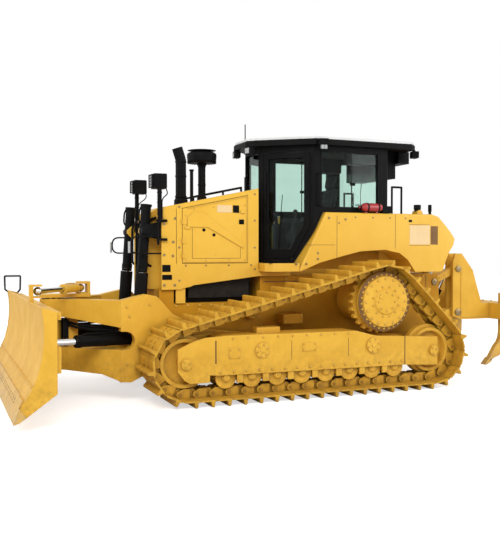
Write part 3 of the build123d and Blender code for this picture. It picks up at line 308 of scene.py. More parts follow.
# ------------------------------------------------------------------ mesh helpers
class Piece:
    """Mesh gathered from simple solids, in metres."""

    def __init__(self, name, look, body="tractor", smooth=30, bevel=0.0):
        self.name, self.look, self.body, self.smooth, self.bevel = name, look, body, smooth, bevel
        self.verts, self.faces = [], []

    def add(self, verts, faces, place=None):
        start = len(self.verts)
        self.verts += [place @ Vector(v) if place else Vector(v) for v in verts]
        self.faces += [tuple(start + i for i in f) for f in faces]

    def flip(self):
        """Move what there is so far to the other side."""
        self.verts = [Vector((v.x, -v.y, v.z)) for v in self.verts]
        self.faces = [f[::-1] for f in self.faces]
        return self

    def mirror(self):
        """Repeat on the right side what there is so far."""
        left = self.verts, self.faces
        self.flip().add(*left)
        return self

    def box(self, x0, x1, y0, y1, z0, z1, place=None):
        """Box in stations, or in mm of a local place."""
        xs, ys, zs = sorted((x0, x1)), sorted((y0, y1)), sorted((z0, z1))
        self.add([(mm if place else V)(x, y, z) for z in zs for y in ys for x in xs],
                 [(0, 2, 3, 1), (4, 5, 7, 6), (0, 1, 5, 4), (2, 6, 7, 3), (0, 4, 6, 2), (1, 3, 7, 5)], place)

    def prism(self, outline, lift):
        """Outline of vectors, extruded by the vector lift."""
        n = len(outline)
        area = Vector((0, 0, 0))
        for a, b in zip(outline, outline[1:] + outline[:1]):
            area += a.cross(b)
        if area.dot(lift) > 0:
            outline = outline[::-1]
        self.add(outline + [p + lift for p in outline],
                 [tuple(range(n)), tuple(range(2 * n - 1, n - 1, -1))]
                 + [(i, i + n, (i + 1) % n + n, (i + 1) % n) for i in range(n)])

    def side(self, points, y0, y1):
        """Plate with an X, Z outline, from y0 to y1."""
        self.prism([V(x, y0, z) for x, z in points], mm(0, y1 - y0, 0))

    def skin(self, rings, closed=False, caps=True):
        """Quads between rings of points, whose ends are filled, or joined if closed."""
        n, count = len(rings), len(rings[0])
        faces = []
        for i in range(n if closed else n - 1):
            a, b = i * count, (i + 1) % n * count
            faces += [(a + k, a + (k + 1) % count, b + (k + 1) % count, b + k) for k in range(count)]
        if caps and not closed:
            faces += [tuple(range(count - 1, -1, -1)), tuple(range((n - 1) * count, n * count))]
        self.add([p for ring in rings for p in ring], faces)

    def turned(self, start, end, profile, count=24):
        """Solid of revolution: profile is (part of the way, radius in m)."""
        axis = end - start
        turn = axis.to_track_quat("Z", "Y").to_matrix()
        self.skin([[start + axis * part + turn @ Vector((radius * math.cos(a), radius * math.sin(a), 0))
                    for a in turns(count)] for part, radius in profile])

    def bar(self, start, end, radius, count=16):
        self.turned(start, end, ((0, radius), (1, radius)), count)

    def knob(self, x, y, z, reach, radius, top, count=18, shoulder=0.6):
        """Turned boss that stands out by a reach from the left face at y."""
        self.turned(V(x, y, z), V(x, y + reach, z), ((0, radius), (shoulder, radius), (1, top)), count)

    def bolt(self, point, normal, radius=0.014, height=0.011, washer=True):
        """Hex head, with a washer, standing on a face."""
        normal = Vector(normal).normalized()
        if washer:
            self.bar(point, point + normal * 0.003, radius * 1.45, 12)
        self.turned(point, point + normal * height, ((0, radius), (0.8, radius), (1, radius * 0.8)), 6)

    def ring(self, centre, axis, radius, count, size=0.011, height=0.010):
        """Bolt circle round a centre, on a face square to axis; radius in mm."""
        axis = Vector(axis)
        u = axis.orthogonal().normalized()
        w = axis.cross(u)
        for a in turns(count):
            self.bolt(centre + (u * math.cos(a) + w * math.sin(a)) * radius / 1000, axis, size, height)

    def studs(self, points, face, size=0.012, height=0.009):
        """Bolts on the left face at Y = face; points are X, Z."""
        for x, z in points:
            self.bolt(V(x, face, z), LEFT, size, height)

    def tube(self, points, radius, count=10):
        """Pipe through points, with mitred corners."""
        rings, side = [], None
        legs = [(b - a).normalized() for a, b in zip(points, points[1:])]
        for p, before, after in zip(points, legs[:1] + legs, legs + legs[-1:]):
            heading = (before + after).normalized()
            if side is None:
                side = heading.orthogonal().normalized()
            side = (side - heading * side.dot(heading)).normalized()
            other = heading.cross(side)
            rings.append([p + (side * math.cos(a) + other * math.sin(a)) * radius for a in turns(count)])
        self.skin(rings)

    def pipe(self, points, radius, count=10):
        """Pipe with rounded bends."""
        self.tube(smooth_path(points), radius, count)

    def build(self):
        mesh = bpy.data.meshes.new(self.name)
        mesh.from_pydata([tuple(v) for v in self.verts], [], self.faces)
        mesh.validate()
        mesh.update()
        obj = bpy.data.objects.new(self.name, mesh)
        bpy.context.scene.collection.objects.link(obj)
        mesh.materials.append(M[self.look])
        mesh.polygons.foreach_set("use_smooth", [True] * len(mesh.polygons))
        mesh.set_sharp_from_angle(angle=math.radians(self.smooth))
        if self.bevel:
            modifier = obj.modifiers.new("bevel", "BEVEL")
            modifier.width = self.bevel
            modifier.segments = 2
            modifier.limit_method = "ANGLE"
            modifier.angle_limit = math.radians(35)
            modifier.harden_normals = True
        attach(obj, self.body)
        return obj


def done(*pieces):
    return [piece.build() for piece in pieces]


def both(*pieces):
    """Finish pieces that are the same on both sides."""
    return done(*(piece.mirror() for piece in pieces))


def smooth_path(points, steps=6):
    """Rounded run through points for pipes and hoses."""
    out = [points[0]]
    for a, b, c in zip(points, points[1:], points[2:]):
        reach = min((b - a).length, (c - b).length) * 0.45
        start, end = b + (a - b).normalized() * reach, b + (c - b).normalized() * reach
        for i in range(steps + 1):
            t = i / steps
            out.append((1 - t) ** 2 * start + 2 * t * (1 - t) * b + t * t * end)
    out.append(points[-1])
    return out


# ------------------------------------------------------------------ tracks
SHOES = 47
GAUGE = 1040.0
CHAIN_PITCH = 203.0
SPROCKET = (-820.0, 1125.0, CHAIN_PITCH / 4 / math.sin(math.pi / 25))
WHEELS = ((1785.0, 485.0, 358.0), SPROCKET, (-1540.0, 485.0, 358.0))        # X, Z, radius of the pins' path


def pin_path():
    """Runs of the pins round the three wheels: kind, length, start or centre, heading."""
    tangents, runs = [], []
    for (ax, az, ar), (bx, bz, br) in zip(WHEELS, WHEELS[1:] + WHEELS[:1]):
        length = math.hypot(bx - ax, bz - az)
        ux, uz = (bx - ax) / length, (bz - az) / length
        cosine = (ar - br) / length
        sine = math.sqrt(1 - cosine * cosine)
        tangents.append((ux * cosine + uz * sine, uz * cosine - ux * sine))
    for i in range(3):
        (ax, az, ar), (bx, bz, br) = WHEELS[i], WHEELS[(i + 1) % 3]
        nx, nz = tangents[i]
        mx, mz = tangents[(i + 1) % 3]
        start, end = (ax + ar * nx, az + ar * nz), (bx + br * nx, bz + br * nz)
        runs.append(("line", math.dist(start, end), start, (nx, nz)))
        turn = (math.atan2(mz, mx) - math.atan2(nz, nx)) % (2 * math.pi)
        runs.append(("arc", br * turn, (bx, bz, br), math.atan2(nz, nx)))
    return runs


def path_at(runs, distance):
    distance %= sum(run[1] for run in runs)
    for kind, length, place, heading in runs:
        if distance <= length:
            break
        distance -= length
    if kind == "line":
        return place[0] - heading[1] * distance, place[1] + heading[0] * distance
    angle = heading + distance / place[2]
    return place[0] + place[2] * math.cos(angle), place[1] + place[2] * math.sin(angle)


# one shoe and one pair of links, in mm of the shoe's own frame: along the chord, outward; Y is across
SHOE = ((30, 42), (200, 42), (226, 38), (229, 44), (203, 49), (200, 57), (193, 62), (86, 62), (76, 119),
        (71, 126), (51, 126), (46, 119), (36, 62), (10, 62), (3, 58), (4, 52), (26, 51))
LINK = ((-38, -14), (-38, 14), (-25, 34), (0, 41), (26, 42), (122, 42), (122, -63), (38, -63), (20, -55),
        (0, -42), (-25, -34))


def tracks():
    """Shoes, links and pins laid round the path on both sides, in place of the plain loops."""
    shoe, link_pair, pins = Piece("shoe", "track"), Piece("links", "track"), Piece("pins", "track_dark")
    for t in (118, 168):
        shoe.bolt(mm(t, 84, 62), UP, 0.013, 0.011, washer=False)
    shoe.mirror()
    shoe.prism([mm(t, -303, n) for t, n in SHOE], mm(0, 606, 0))
    link_pair.prism([mm(t, 55, n) for t, n in LINK], mm(0, 28, 0))
    link_pair.prism([mm(CHAIN_PITCH - t, 84, n) for t, n in LINK], mm(0, 28, 0))
    link_pair.mirror()
    pins.bar(mm(0, 112, 0), mm(0, 117, 0), 0.021, 12)
    pins.bar(mm(0, 55, 0), mm(0, 57, 0), 0.039, 14)
    pins.mirror()
    pins.bar(mm(0, -55, 0), mm(0, 55, 0), 0.032, 14)
    laid = Piece("track_shoes", "track"), Piece("track_links", "track"), Piece("track_pins", "track_dark")
    runs = pin_path()
    pitch = sum(run[1] for run in runs) / SHOES
    for side in SIDES:
        for i in range(SHOES):
            (ax, az), (bx, bz) = path_at(runs, i * pitch), path_at(runs, (i + 1) * pitch)
            t = Vector((bx - ax, 0, bz - az)).normalized()
            n = Vector((t.z, 0, -t.x))
            turn = Matrix((t, n.cross(t), n)).transposed().to_4x4()
            place = Matrix.Translation(V(ax, side * GAUGE, az)) @ turn
            for whole, part in zip(laid, (shoe, link_pair, pins)):
                whole.add(part.verts, part.faces, place)
    for obj in done(*laid):
        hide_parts("tracks")


tracks()


# ------------------------------------------------------------------ running gear
def running_gear():
    """Bolts, caps and seams of the roller frames, idlers and final drives; dark strips as painted shade of
    slots, and a dark ring round each hub as painted shadow of its gap.
    """
    bolts = Piece("running_gear_bolts", "yellow_low")
    marks = Piece("running_gear_seams_and_painted_shade", "brown")
    caps = Piece("roller_shaft_caps", "yellow_low", bevel=0.003)
    hub_x, hub_z, _ = SPROCKET
    for radius, face, count, size in ((338, 1221, 30, 0.010), (285, 1243, 16, 0.014), (190, 1246, 12, 0.010),
                                      (118, 1265, 8, 0.011)):
        bolts.ring(V(hub_x, face, hub_z), LEFT, radius, count, size)
    # Dark ring round the hub: painted shadow in the gap between the hub and the sprocket.
    marks.skin([[V(hub_x + r * math.cos(a), y, hub_z + r * math.sin(a)) for a in turns(64)]
                for r, y in ((374, 1200), (374.5, 1206), (351, 1218.5), (326, 1222))], caps=False)
    bolts.knob(-735, 1264, 1185, 12, 0.024, 0.018, 16, 0.7)
    for x, z, face, radius in ((855, 600, 1243, 66), (-645, 590, 1253, 74), (705, 995, 640, 72)):
        bolts.ring(V(x, face, z), LEFT, radius, 6, 0.010)
        bolts.knob(x, face, z, 8, 0.030, 0.022)
    for x in range(1290, -1310, -325):                  # rollers
        caps.turned(V(x, 1174, 298), V(x, 1206, 298), ((0, 0.052), (0.55, 0.052), (0.7, 0.040), (1, 0.036)),
                    20)
        caps.turned(V(x, 1206, 298), V(x, 1211, 298), ((0, 0.014), (1, 0.011)), 6)
        bolts.studs(((x - 84, 372), (x + 84, 372)), 1227, 0.013, 0.011)
    # Dark strips where the frames have slots: painted shade, with no slot cut in them.
    for x0, x1, z0, z1 in ((1420, 1438, 470, 735), (-1120, -1106, 330, 690), (470, 476, 470, 700),
                           (-300, -294, 470, 700)):
        marks.box(x0, x1, 1226.5, 1228.2, z0, z1)
    for x0, x1, z0, z1 in ((150, 330, 560, 660), (1130, 1270, 520, 640)):       # covers on the frame's side
        caps.box(x0, x1, 1224, 1234, z0, z1)
        bolts.studs([(x, z) for x in (x0 + 16, x1 - 16) for z in (z0 + 16, z1 - 16)], 1234, 0.008, 0.007)
    bolts.studs([(x, 752) for x in range(-300, 1300, 190)], 1227, 0.010)
    bolts.studs([(x, z) for x in (85, 305) for z in (865, 935)], 690, 0.010)
    bolts.studs([(x, 1090) for x in range(620, 1700, 150)] + [(x, 1400) for x in range(-1900, 500, 300)], 480)
    for x0, x1, z0, z1 in ((-1700, 520, 1360, 1372), (-1960, -1950, 600, 1420), (-900, 1700, 470, 480)):
        marks.box(x0, x1, 479, 482, z0, z1)
    bolts.mirror()
    for s in SIDES:
        for x, z, _ in (WHEELS[0], WHEELS[2]):
            bolts.ring(V(x, s * 1257, z), (0, s, 0), 40, 3, 0.010)
    done(bolts)
    both(marks, caps)


# ------------------------------------------------------------------ hood, guard, engine doors, stacks, lamps
def hood_and_guard():
    bolts = Piece("guard_and_hood_bolts", "steel")
    bolts.studs(((1691, 2150), (1716, 1866), (1722, 1698), (1830, 1710), (1830, 2080), (1700, 1345),
                 (1830, 1345)), 520)
    bolts.studs(((650, 2470), (650, 2140), (650, 1800), (650, 1530), (1640, 2290), (1640, 1800),
                 (1640, 1400)), 520, 0.009)
    bolts.studs(((1560, 1580), (1300, 1580), (1000, 1580), (700, 1580)), 520, 0.008)
    both(bolts)
    vents = Piece("guard_vents", "black", bevel=0.002)
    for x0, x1, z0, z1 in ((1752, 1856, 1505, 1591), (1735, 1856, 1409, 1471)):
        vents.box(x0, x1, 519.5, 521.5, z0, z1)
        for i in range(5):
            z = z0 + (z1 - z0) * (i + 0.3) / 5
            vents.box(x0, x1, 520, 527, z, z + 5)
    vents.box(1964, 1996, 214, 238, 1376, 2124)
    vents.mirror()
    for y in range(-203, 204, 58):                      # screen wires in the front grille
        vents.box(1974, 1979, y - 3, y + 3, 1382, 2118)
    for z in (1384, 2112):
        vents.box(1964, 1990, -230, 230, z - 10, z + 10)
    done(vents)


def engine_door(name, s):
    """Latches, seams, bare plate, bolts and folded edge of one side door of the engine."""
    dark = Piece(name + "_latches", "black", name, bevel=0.002)
    lines = Piece(name + "_lines", "brown", name)
    pale = Piece(name + "_plate", "plate", name, bevel=0.002)
    fixing = Piece(name + "_bolts", "yellow", name)
    for x, z in ((1328, 2015), (1198, 1955)):
        dark.knob(x, 523, z, 9, 0.020, 0.015)
    dark.box(866, 947, 523, 529, 2232, 2324)
    dark.box(799, 866, 523, 529, 2090, 2150)
    dark.box(808, 857, 529, 543, 2108, 2128)
    for x0, x1, z0, z1 in ((1480, 850, 1664, 1669), (850, 845, 1664, 1800), (1480, 1474, 1664, 2040),
                           (1180, 1178, 1700, 1720)):
        lines.box(x0, x1, 523.5, 524.8, z0, z1)
    pale.box(960, 1158, 523, 527, 2232, 2324)
    fixing.studs(((1560, 1650), (1560, 2190), (1000, 1650), (1300, 1650), (790, 1650), (790, 2330),
                  (1200, 2300), (1450, 2270)), 524, 0.008, 0.006)
    for outline in (((1592, 1620), (1592, 1628), (758, 1628), (758, 1620)),
                    ((758, 1628), (766, 1628), (766, 2438), (758, 2440)),
                    ((766, 2430), (1540, 2268), (1540, 2276), (766, 2438))):
        fixing.side(outline, 523, 530)
    done(*(piece if s > 0 else piece.flip() for piece in (dark, pale, fixing, lines)))


def stacks():
    """Clamps of the exhaust stack, vanes and bands of the precleaner."""
    trim = Piece("stack_clamps", "black", bevel=0.002)
    for z, radius in ((2424, 74), (2680, 71), (2860, 71)):
        trim.bar(V(1520, 200, z), V(1520, 200, z + 22), radius / 1000, 32)
        trim.box(1508, 1532, 194 + radius, 216 + radius, z, z + 22)
        trim.bar(V(1504, 210 + radius, z + 11), V(1536, 210 + radius, z + 11), 0.005, 10)
    for a in turns(28):
        place = Matrix.Translation(V(1175, 0, 0)) @ Matrix.Rotation(a, 4, "Z")
        trim.box(150, 188, -3, 3, 2884, 2916, place)
    trim.turned(V(1175, 0, 2950), V(1175, 0, 2970),
                ((0, 0.1885), (0.2, 0.1915), (0.8, 0.1915), (1, 0.1885)), 48)
    trim.turned(V(1175, 0, 3050), V(1175, 0, 3066), ((0, 0.040), (0.5, 0.036), (1, 0.014)), 20)
    for z in (2600, 2840):
        trim.bar(V(1175, 0, z), V(1175, 0, z + 18), 0.053, 28)
    done(trim)


def front_lamps():
    """Lens, guard wires, fins and cable of the two front lamps."""
    dark, lens = Piece("lamp_guards", "black", bevel=0.0015), Piece("lamp_lenses", "lens", bevel=0.002)
    lens.box(1972, 1981, 412, 528, 2524, 2660)
    for z in (2556, 2592, 2628):
        dark.bar(V(1988, 408, z), V(1988, 532, z), 0.003, 8)
    for y in (404, 536):
        dark.box(1970, 1990, y - 5, y + 5, 2516, 2668)
    for z in (2514, 2664):
        dark.box(1970, 1990, 400, 540, z, z + 8)
    for y in range(404, 530, 25):
        dark.box(1796, 1808, y, y + 6, 2512, 2672)
    dark.pipe([V(1802, 470, 2530), V(1780, 480, 2480), V(1790, 530, 2440), V(1868, 566, 2380),
               V(1868, 570, 2140)], 0.007, 8)
    for z in (2200, 2330, 2450):
        dark.bar(V(1894, 549, z), V(1894, 549, z + 12), 0.032, 20)
    dark.studs([(x, z) for z in (2120, 1895) for x in (1820, 1850)], 557, 0.009, 0.011)
    both(dark, lens)


def guard_sides():
    """Hoses, reflectors and lift bracket covers beside the radiator guard."""
    hoses = Piece("guard_hoses", "hose")
    covers = Piece("lift_bracket_covers", "black", bevel=0.003)
    reflectors = Piece("side_reflectors", "silver", bevel=0.002)
    for x in (2022, 1984):
        hoses.pipe([V(x - 60, 255, 1570), V(x, 283, 1600), V(x, 283, 2060), V(x - 60, 283, 2140),
                    V(1850, 283, 2165)], 0.015)
    hoses.pipe([V(1840, 500, 1930), V(2236, 500, 1930), V(2236, 500, 1728), V(1840, 500, 1728)], 0.010)
    reflectors.box(2244, 2262, 478, 522, 1735, 1870)
    covers.side(((1752, 1874), (1752, 2136), (2039, 2076), (2093, 2022), (2093, 1976), (2037, 1924)),
                468, 491)
    covers.knob(2037, 490, 2000, 10, 0.052, 0.044, 24)
    covers.ring(V(2037, 500, 2000), LEFT, 34, 4, 0.008, 0.007)
    both(hoses, covers, reflectors)


running_gear()
hood_and_guard()
for side, door in zip(SIDES, ("engine_side_left", "engine_side_right")):
    engine_door(door, side)
stacks()
front_lamps()
guard_sides()


# ------------------------------------------------------------------ cylinders
# by kind: base, eye, width of the gland rings, rings (mm from the base, radius in m), radius of the pipe
# in m, points of the pipe (mm from the base, then X and Z aside)
CYLINDERS = {
    "lift": ((2037, 390, 2000), (2107, 390, 1000), 14,
             ((-318, 0.069), (452, 0.0665), (300, 0.063), (-150, 0.063)), 0.011,
             ((-290, 62, 0), (-240, 80, 0), (-130, 80, 0), (-90, 58, 0))),
    "angle": ((2130, 405, 705), (3300, 800, 745), 14,
              ((100, 0.072), (768, 0.0735), (790, 0.075), (440, 0.069)), 0.011,
              ((130, 0, 60), (180, 0, 82), (700, 0, 82), (750, 0, 62))),
    "ripper": ((-2130, 180, 760), (-2575, 180, 1570), 12, ((10, 0.0625), (445, 0.0635), (485, 0.0645)),
               0.009, ((90, -45, 30), (120, -58, 42), (420, -58, 42), (450, -44, 30))),
    "tilt": ((2740, 0, 1310), (3340, 790, 1318), 12, ((106, 0.055), (392, 0.0575), (424, 0.058)),
             0.008, ((130, 0, 46), (160, 0, 60), (360, 0, 60), (385, 0, 46))),
}


def on_axis(kind, s, distance, x=0, z=0):
    """Point on a cylinder's axis, a distance in mm from its base, moved aside in X and Z."""
    base, eye = (V(x, s * y, z) for x, y, z in CYLINDERS[kind][:2])
    return base + (eye - base).normalized() * distance / 1000 + mm(x, 0, z)


def barrel_trim(kind, barrel, s, look="black", count=28):
    """Gland rings and pipe of a barrel."""
    _, _, wide, rings, thick, pipe = CYLINDERS[kind]
    trim = Piece(barrel + "_trim", look, barrel)
    for distance, radius in rings:
        trim.bar(on_axis(kind, s, distance), on_axis(kind, s, distance + wide), radius, count)
    trim.pipe([on_axis(kind, s, *place) for place in pipe], thick)
    return trim


def guard_tube_mouth(rod, s):
    """Rolled mouth and band of the guard tube on a lift cylinder's rod, by distance from the eye."""
    mouth = Piece(rod + "_mouth", "black", rod)
    base, eye = (Vector(p) for p in CYLINDERS["lift"][:2])
    length = (eye - base).length
    turn = (on_axis("lift", s, length) - on_axis("lift", s, 0)).to_track_quat("Z", "Y").to_matrix()
    rings = ((455, 70.2), (496, 70.8), (496, 76.2), (494, 77.2), (458, 77.2), (455, 76.6))
    mouth.skin([[on_axis("lift", s, length - distance) + turn @ mm(r * math.cos(a), r * math.sin(a), 0)
                 for a in turns(32)] for distance, r in rings], closed=True)
    mouth.bar(on_axis("lift", s, length - 62), on_axis("lift", s, length - 54), 0.0785, 32)
    return mouth


def cylinders():
    """Trim of the lift, angle, ripper and tilt cylinders."""
    for s, name in zip(SIDES, ("left", "right")):
        lift = barrel_trim("lift", f"lift_{name}_barrel", s)
        lift.turned(on_axis("lift", s, 471), on_axis("lift", s, 503),           # collar over the bare rod
                    ((0, 0.064), (0.9, 0.064), (1, 0.060), (1, 0.042), (0.1, 0.042)), 32)
        done(lift, guard_tube_mouth(f"lift_{name}_rod", s), barrel_trim("angle", f"angle_{name}_barrel", s),
             barrel_trim("ripper", f"ripper_{name}_barrel", s))
    done(barrel_trim("tilt", "tilt_barrel", 1, "yellow_low", 24))


# ------------------------------------------------------------------ blade and its frame
def blade():
    """Bolts along the cutting edge, seams and wear line of the back, loop on the right end."""
    bolts = Piece("cutting_edge_bolts", "steel", "blade")
    loops = Piece("blade_end_loops", "black", "blade")
    seams = Piece("blade_seams", "yellow_low", "blade", bevel=0.002)
    down = mm(93, 0, -220).normalized()                 # the edge's slope, from its upper border
    front = Vector((-down.z, 0, down.x))
    for y in range(-1740, 1800, 145):
        for distance in (62, 98):
            point = V(3612, y, 310) + down * distance / 1000 + front * 0.0005
            bolts.bolt(point, front, 0.013, 0.004, washer=False)
    loops.tube([V(x, -1810, z) for x, z in ((3300, 1165), (3262, 1215), (3258, 1396), (3266, 1404),
                                            (3462, 1404), (3470, 1396), (3466, 1215), (3420, 1185))], 0.013)
    for y in (330, 620, 1180, 1500):
        seams.box(3244, 3252, y - 22, y + 22, 830, 1075)
    seams.mirror()
    seams.box(3411, 3437, -1788, 1788, 1196, 1206)
    done(bolts, loops, seams)


def blade_frame():
    """Bolts, trunnion caps and weld lines of the C-frame; hoses to the angle cylinders."""
    bolts = Piece("blade_frame_bolts", "yellow_low", "blade_frame")
    hoses = Piece("blade_frame_hoses", "hose", "blade_frame")
    bolts.knob(300, 700, 560, 12, 0.118, 0.108, 40, 0.7)
    bolts.ring(V(300, 712, 560), LEFT, 92, 8, 0.011)
    bolts.studs(((2060, 1130), (2330, 1110), (2300, 1000), (2330, 440), (2200, 420)), 700, 0.012, 0.011)
    bolts.side(((500, 592), (1290, 700), (1290, 694), (500, 586)), 700, 706)
    bolts.mirror()
    bolts.ring(V(3090, 0, 1187), UP, 104, 10, 0.010)
    done(bolts)
    for k in (0, 1):
        hoses.pipe([V(1400, 533, 720 - 40 * k), V(1800, 533, 830 - 40 * k), V(2010, 533, 815 - 40 * k),
                    V(2080, 500, 800 - 30 * k)], 0.014)
    for z in (16, -18):
        hoses.pipe([V(2380, 560, 858 + z), V(2600, 440, 846 + z), V(2820, 262, 868 + z),
                    V(2900, 150, 890 + z), V(2900, 100, 892 + z)], 0.015)
    hoses.box(2905, 2960, 60, 128, 640, 940)
    both(hoses)


# ------------------------------------------------------------------ platform, fenders, extinguisher
def fenders():
    """Bolts, seams, bare plates, filler caps and treads of the fenders; skirts under the cab floor."""
    bolts = Piece("fender_bolts", "steel")
    seams = Piece("fender_seams", "brown")
    plates = Piece("fender_plates", "plate", bevel=0.002)
    fillers = Piece("fender_filler_caps", "black", bevel=0.002)
    # The skirts take the hull's darkened paint: painted shade under the cab floor.
    skirt = Piece("underfloor_skirts", "shaded_hull")
    tread = Piece("tread_strips", "rubber", bevel=0.001)
    bolts.studs(((-253, 2177), (-493, 2161), (-96, 1732), (-96, 1656), (207, 1595), (68, 1594)), 801, 0.011)
    bolts.studs(((-398, 2115), (-640, 2190), (-900, 2190), (-1160, 2190), (-1400, 2190)), 800, 0.008)
    for x0, x1, z0, z1 in ((87, -340, 1831, 1836), (-366, -372, 1668, 2204), (-1240, -1246, 1790, 2236),
                           (-1458, -1794, 1829, 1834), (-1458, -1794, 2105, 2110)):
        seams.box(x0, x1, 798, 800.8, z0, z1)
    seams.box(-1800, -1918, 798, 801, 1842, 2090)
    plates.box(-1466, -1790, 799, 801.5, 1842, 2100)
    for x, foot, top, r in ((-1724, 2240, 2385, 0.049), (-1929, 2190, 2390, 0.025)):
        fillers.turned(V(x, 600, foot), V(x, 600, top),
                       ((0, r * 0.8), (0.52, r * 0.8), (0.56, r), (0.94, r), (1, r * 0.9)))
    fillers.box(-1500, -1452, 799, 806, 2140, 2170)
    skirt.side(((150, 1524), (-1238, 1524), (-1238, 1770), (-1090, 1784), (-720, 1764), (-490, 1712),
                (-130, 1622), (150, 1512)), 397, 403)
    for x in range(560, 200, -58):
        tread.box(x, x - 32, 560, 780, 1603, 1609)
    for x in range(-1300, -1760, -70):
        tread.box(x, x - 36, 450, 560, 2249, 2254)
    both(bolts, seams, plates, fillers, skirt, tread)


def extinguisher():
    """Straps with buckles, valve, levers, hose and bracket, on the left fender alone."""
    fittings = Piece("extinguisher_fittings", "black", bevel=0.0015)
    for x in (-806, -966):
        fittings.bar(V(x, 782, 2322), V(x - 24, 782, 2322), 0.0575, 32)
        fittings.box(x - 18, x - 6, 780, 784, 2376, 2386)
    fittings.turned(V(-735, 782, 2322), V(-690, 782, 2322),
                    ((0, 0.026), (0.5, 0.022), (0.6, 0.012), (1, 0.012)), 20)
    fittings.box(-716, -640, 776, 788, 2340, 2346)
    fittings.box(-712, -650, 777, 787, 2352, 2357)
    fittings.pipe([V(-700, 782, 2312), V(-700, 782, 2280), V(-740, 800, 2268), V(-1010, 800, 2270)], 0.008, 8)
    fittings.box(-1048, -1180, 735, 799, 2252, 2345)
    done(fittings)


# ------------------------------------------------------------------ ripper
def ripper():
    """Pins with their keepers, beam bolts, weld lines, link bolts and hoses; the lights above them."""
    pins = Piece("ripper_pins", "steel", "ripper", bevel=0.002)
    bolts = Piece("ripper_bolts", "yellow_low", "ripper")
    hull_pins = Piece("ripper_hull_pins", "steel", bevel=0.002)
    tip_pins = Piece("ripper_tip_pins", "steel", "ripper", bevel=0.002)
    hoses = Piece("ripper_hoses", "hose")
    lights = Piece("rear_lights", "red", bevel=0.002)
    for drop, radius in ((0, 0.052), (620, 0.046)):
        pins.knob(-2545, 428, 880 + drop, 18, radius, radius * 0.85, 28, 0.8)
        pins.box(-2565, -2485, 446, 452, 866 + drop, 894 + drop)
        pins.bolt(V(-2499, 452, 880 + drop), LEFT, 0.010)
        hull_pins.knob(-2135, 428, 700 + drop, 18, radius, radius * 0.85, 28, 0.8)
        hull_pins.bolt(V(-2135, 446, 700 + drop), LEFT)
    for z in (940, 830):
        pins.knob(-3270, 455, z, 23, 0.026, 0.020, 18, 0.8)
    pins.bar(V(-3444, 545, 887), V(-3436, 545, 887), 0.030, 20)
    for x in (-3420, -3120):
        for y in (635, 90):
            bolts.bolt(V(x, y, 1000), UP, 0.012)
    for z in (820, 887, 955):
        bolts.bolt(V(-3380, 999, z), (0, -1, 0), 0.002, 0.001, washer=False)
    bolts.side(((-2590, 800), (-2590, 1460), (-2598, 1460), (-2598, 800)), 430, 436)
    bolts.side(((-2620, 806), (-3080, 806), (-3080, 798), (-2620, 798)), 430, 436)
    for y0, y1 in ((497, 491), (593, 599)):
        tip_pins.bar(V(-3005, y0, 196), V(-3005, y1, 196), 0.014, 14)
    tip_pins.bar(V(-3270, 493, 1085), V(-3270, 597, 1085), 0.022, 18)
    for y in (120, 146):
        hoses.pipe([V(-2030, y, 1320), V(-2090, y, 1300), V(-2110, y, 1100), V(-2060, y, 960),
                    V(-2035, y, 940)], 0.013)
    lights.turned(V(-2186, 640, 1925), V(-2193, 640, 1917), ((0, 0.040), (1, 0.036)))
    both(pins, bolts, hull_pins, tip_pins, hoses, lights)
    for name, link, z in (("ripper_link_trim", "ripper_lower", 700),
                          ("ripper_top_link_trim", "ripper_upper", 1320)):
        trim = Piece(name, "yellow_low", link)
        for part in (0.3, 0.5, 0.7):
            trim.bolt(V(-2135 - 410 * part, 384, z + 180 * part), LEFT, 0.010, 0.004, washer=False)
        both(trim)


cylinders()
blade()
blade_frame()
fenders()
extinguisher()
ripper()


# ------------------------------------------------------------------ cab
def corners(outline):
    """Each corner of a closed outline, between its neighbours."""
    return zip(outline[-1:] + outline[:-1], outline, outline[1:] + outline[:1])


def rounded(outline, reach):
    """Outline with each corner swapped for a short arc."""
    out = []
    for a, b, c in corners(outline):
        start, end = b + (a - b).normalized() * reach, b + (c - b).normalized() * reach
        out += [(1 - t) ** 2 * start + 2 * t * (1 - t) * b + t * t * end for t in (0, 0.33, 0.67, 1)]
    return out


def shrunk(outline, by):
    """Anticlockwise outline, pulled in along its corners by some millimetres."""
    out = []
    for a, b, c in corners(outline):
        along = ((b - a).normalized() + (c - b).normalized()).normalized()
        out.append(b + Vector((-along.y, along.x)) * by)
    return out


def border(x0, x1, z0, z1, wide):
    """Four strips just inside a rectangle."""
    return (x0, x1, z0, z0 + wide), (x0, x1, z1 - wide, z1), (x0, x0 + wide, z0, z1), (x1 - wide, x1, z0, z1)


def roof():
    """Pale cap over the roof's edge, a painted highlight of the sky on the black roof, and the ribs pressed
    in it.
    """
    left = [(650, 215), (560, 330), (-60, 800), (-1500, 800), (-1590, 740)]
    outline = rounded([Vector(p) for p in left + [(x, -y) for x, y in reversed(left)]], 26)
    rim_highlight = Piece("roof_rim_highlight", "rim_highlight", smooth=40)
    rim_highlight.skin([[V(p.x, p.y, z) for p in shrunk(outline, by)]
              for by, z in ((24, 3206), (17, 3198), (19, 3176))], caps=False)
    rim_highlight.faces.append(tuple(range(len(outline))))
    ribs = Piece("roof_ribs", "silver", bevel=0.003)
    for y in range(-480, 481, 160):
        ribs.box(-960, 60, y - 34, y + 34, 3202, 3209.5)
    done(rim_highlight, ribs)


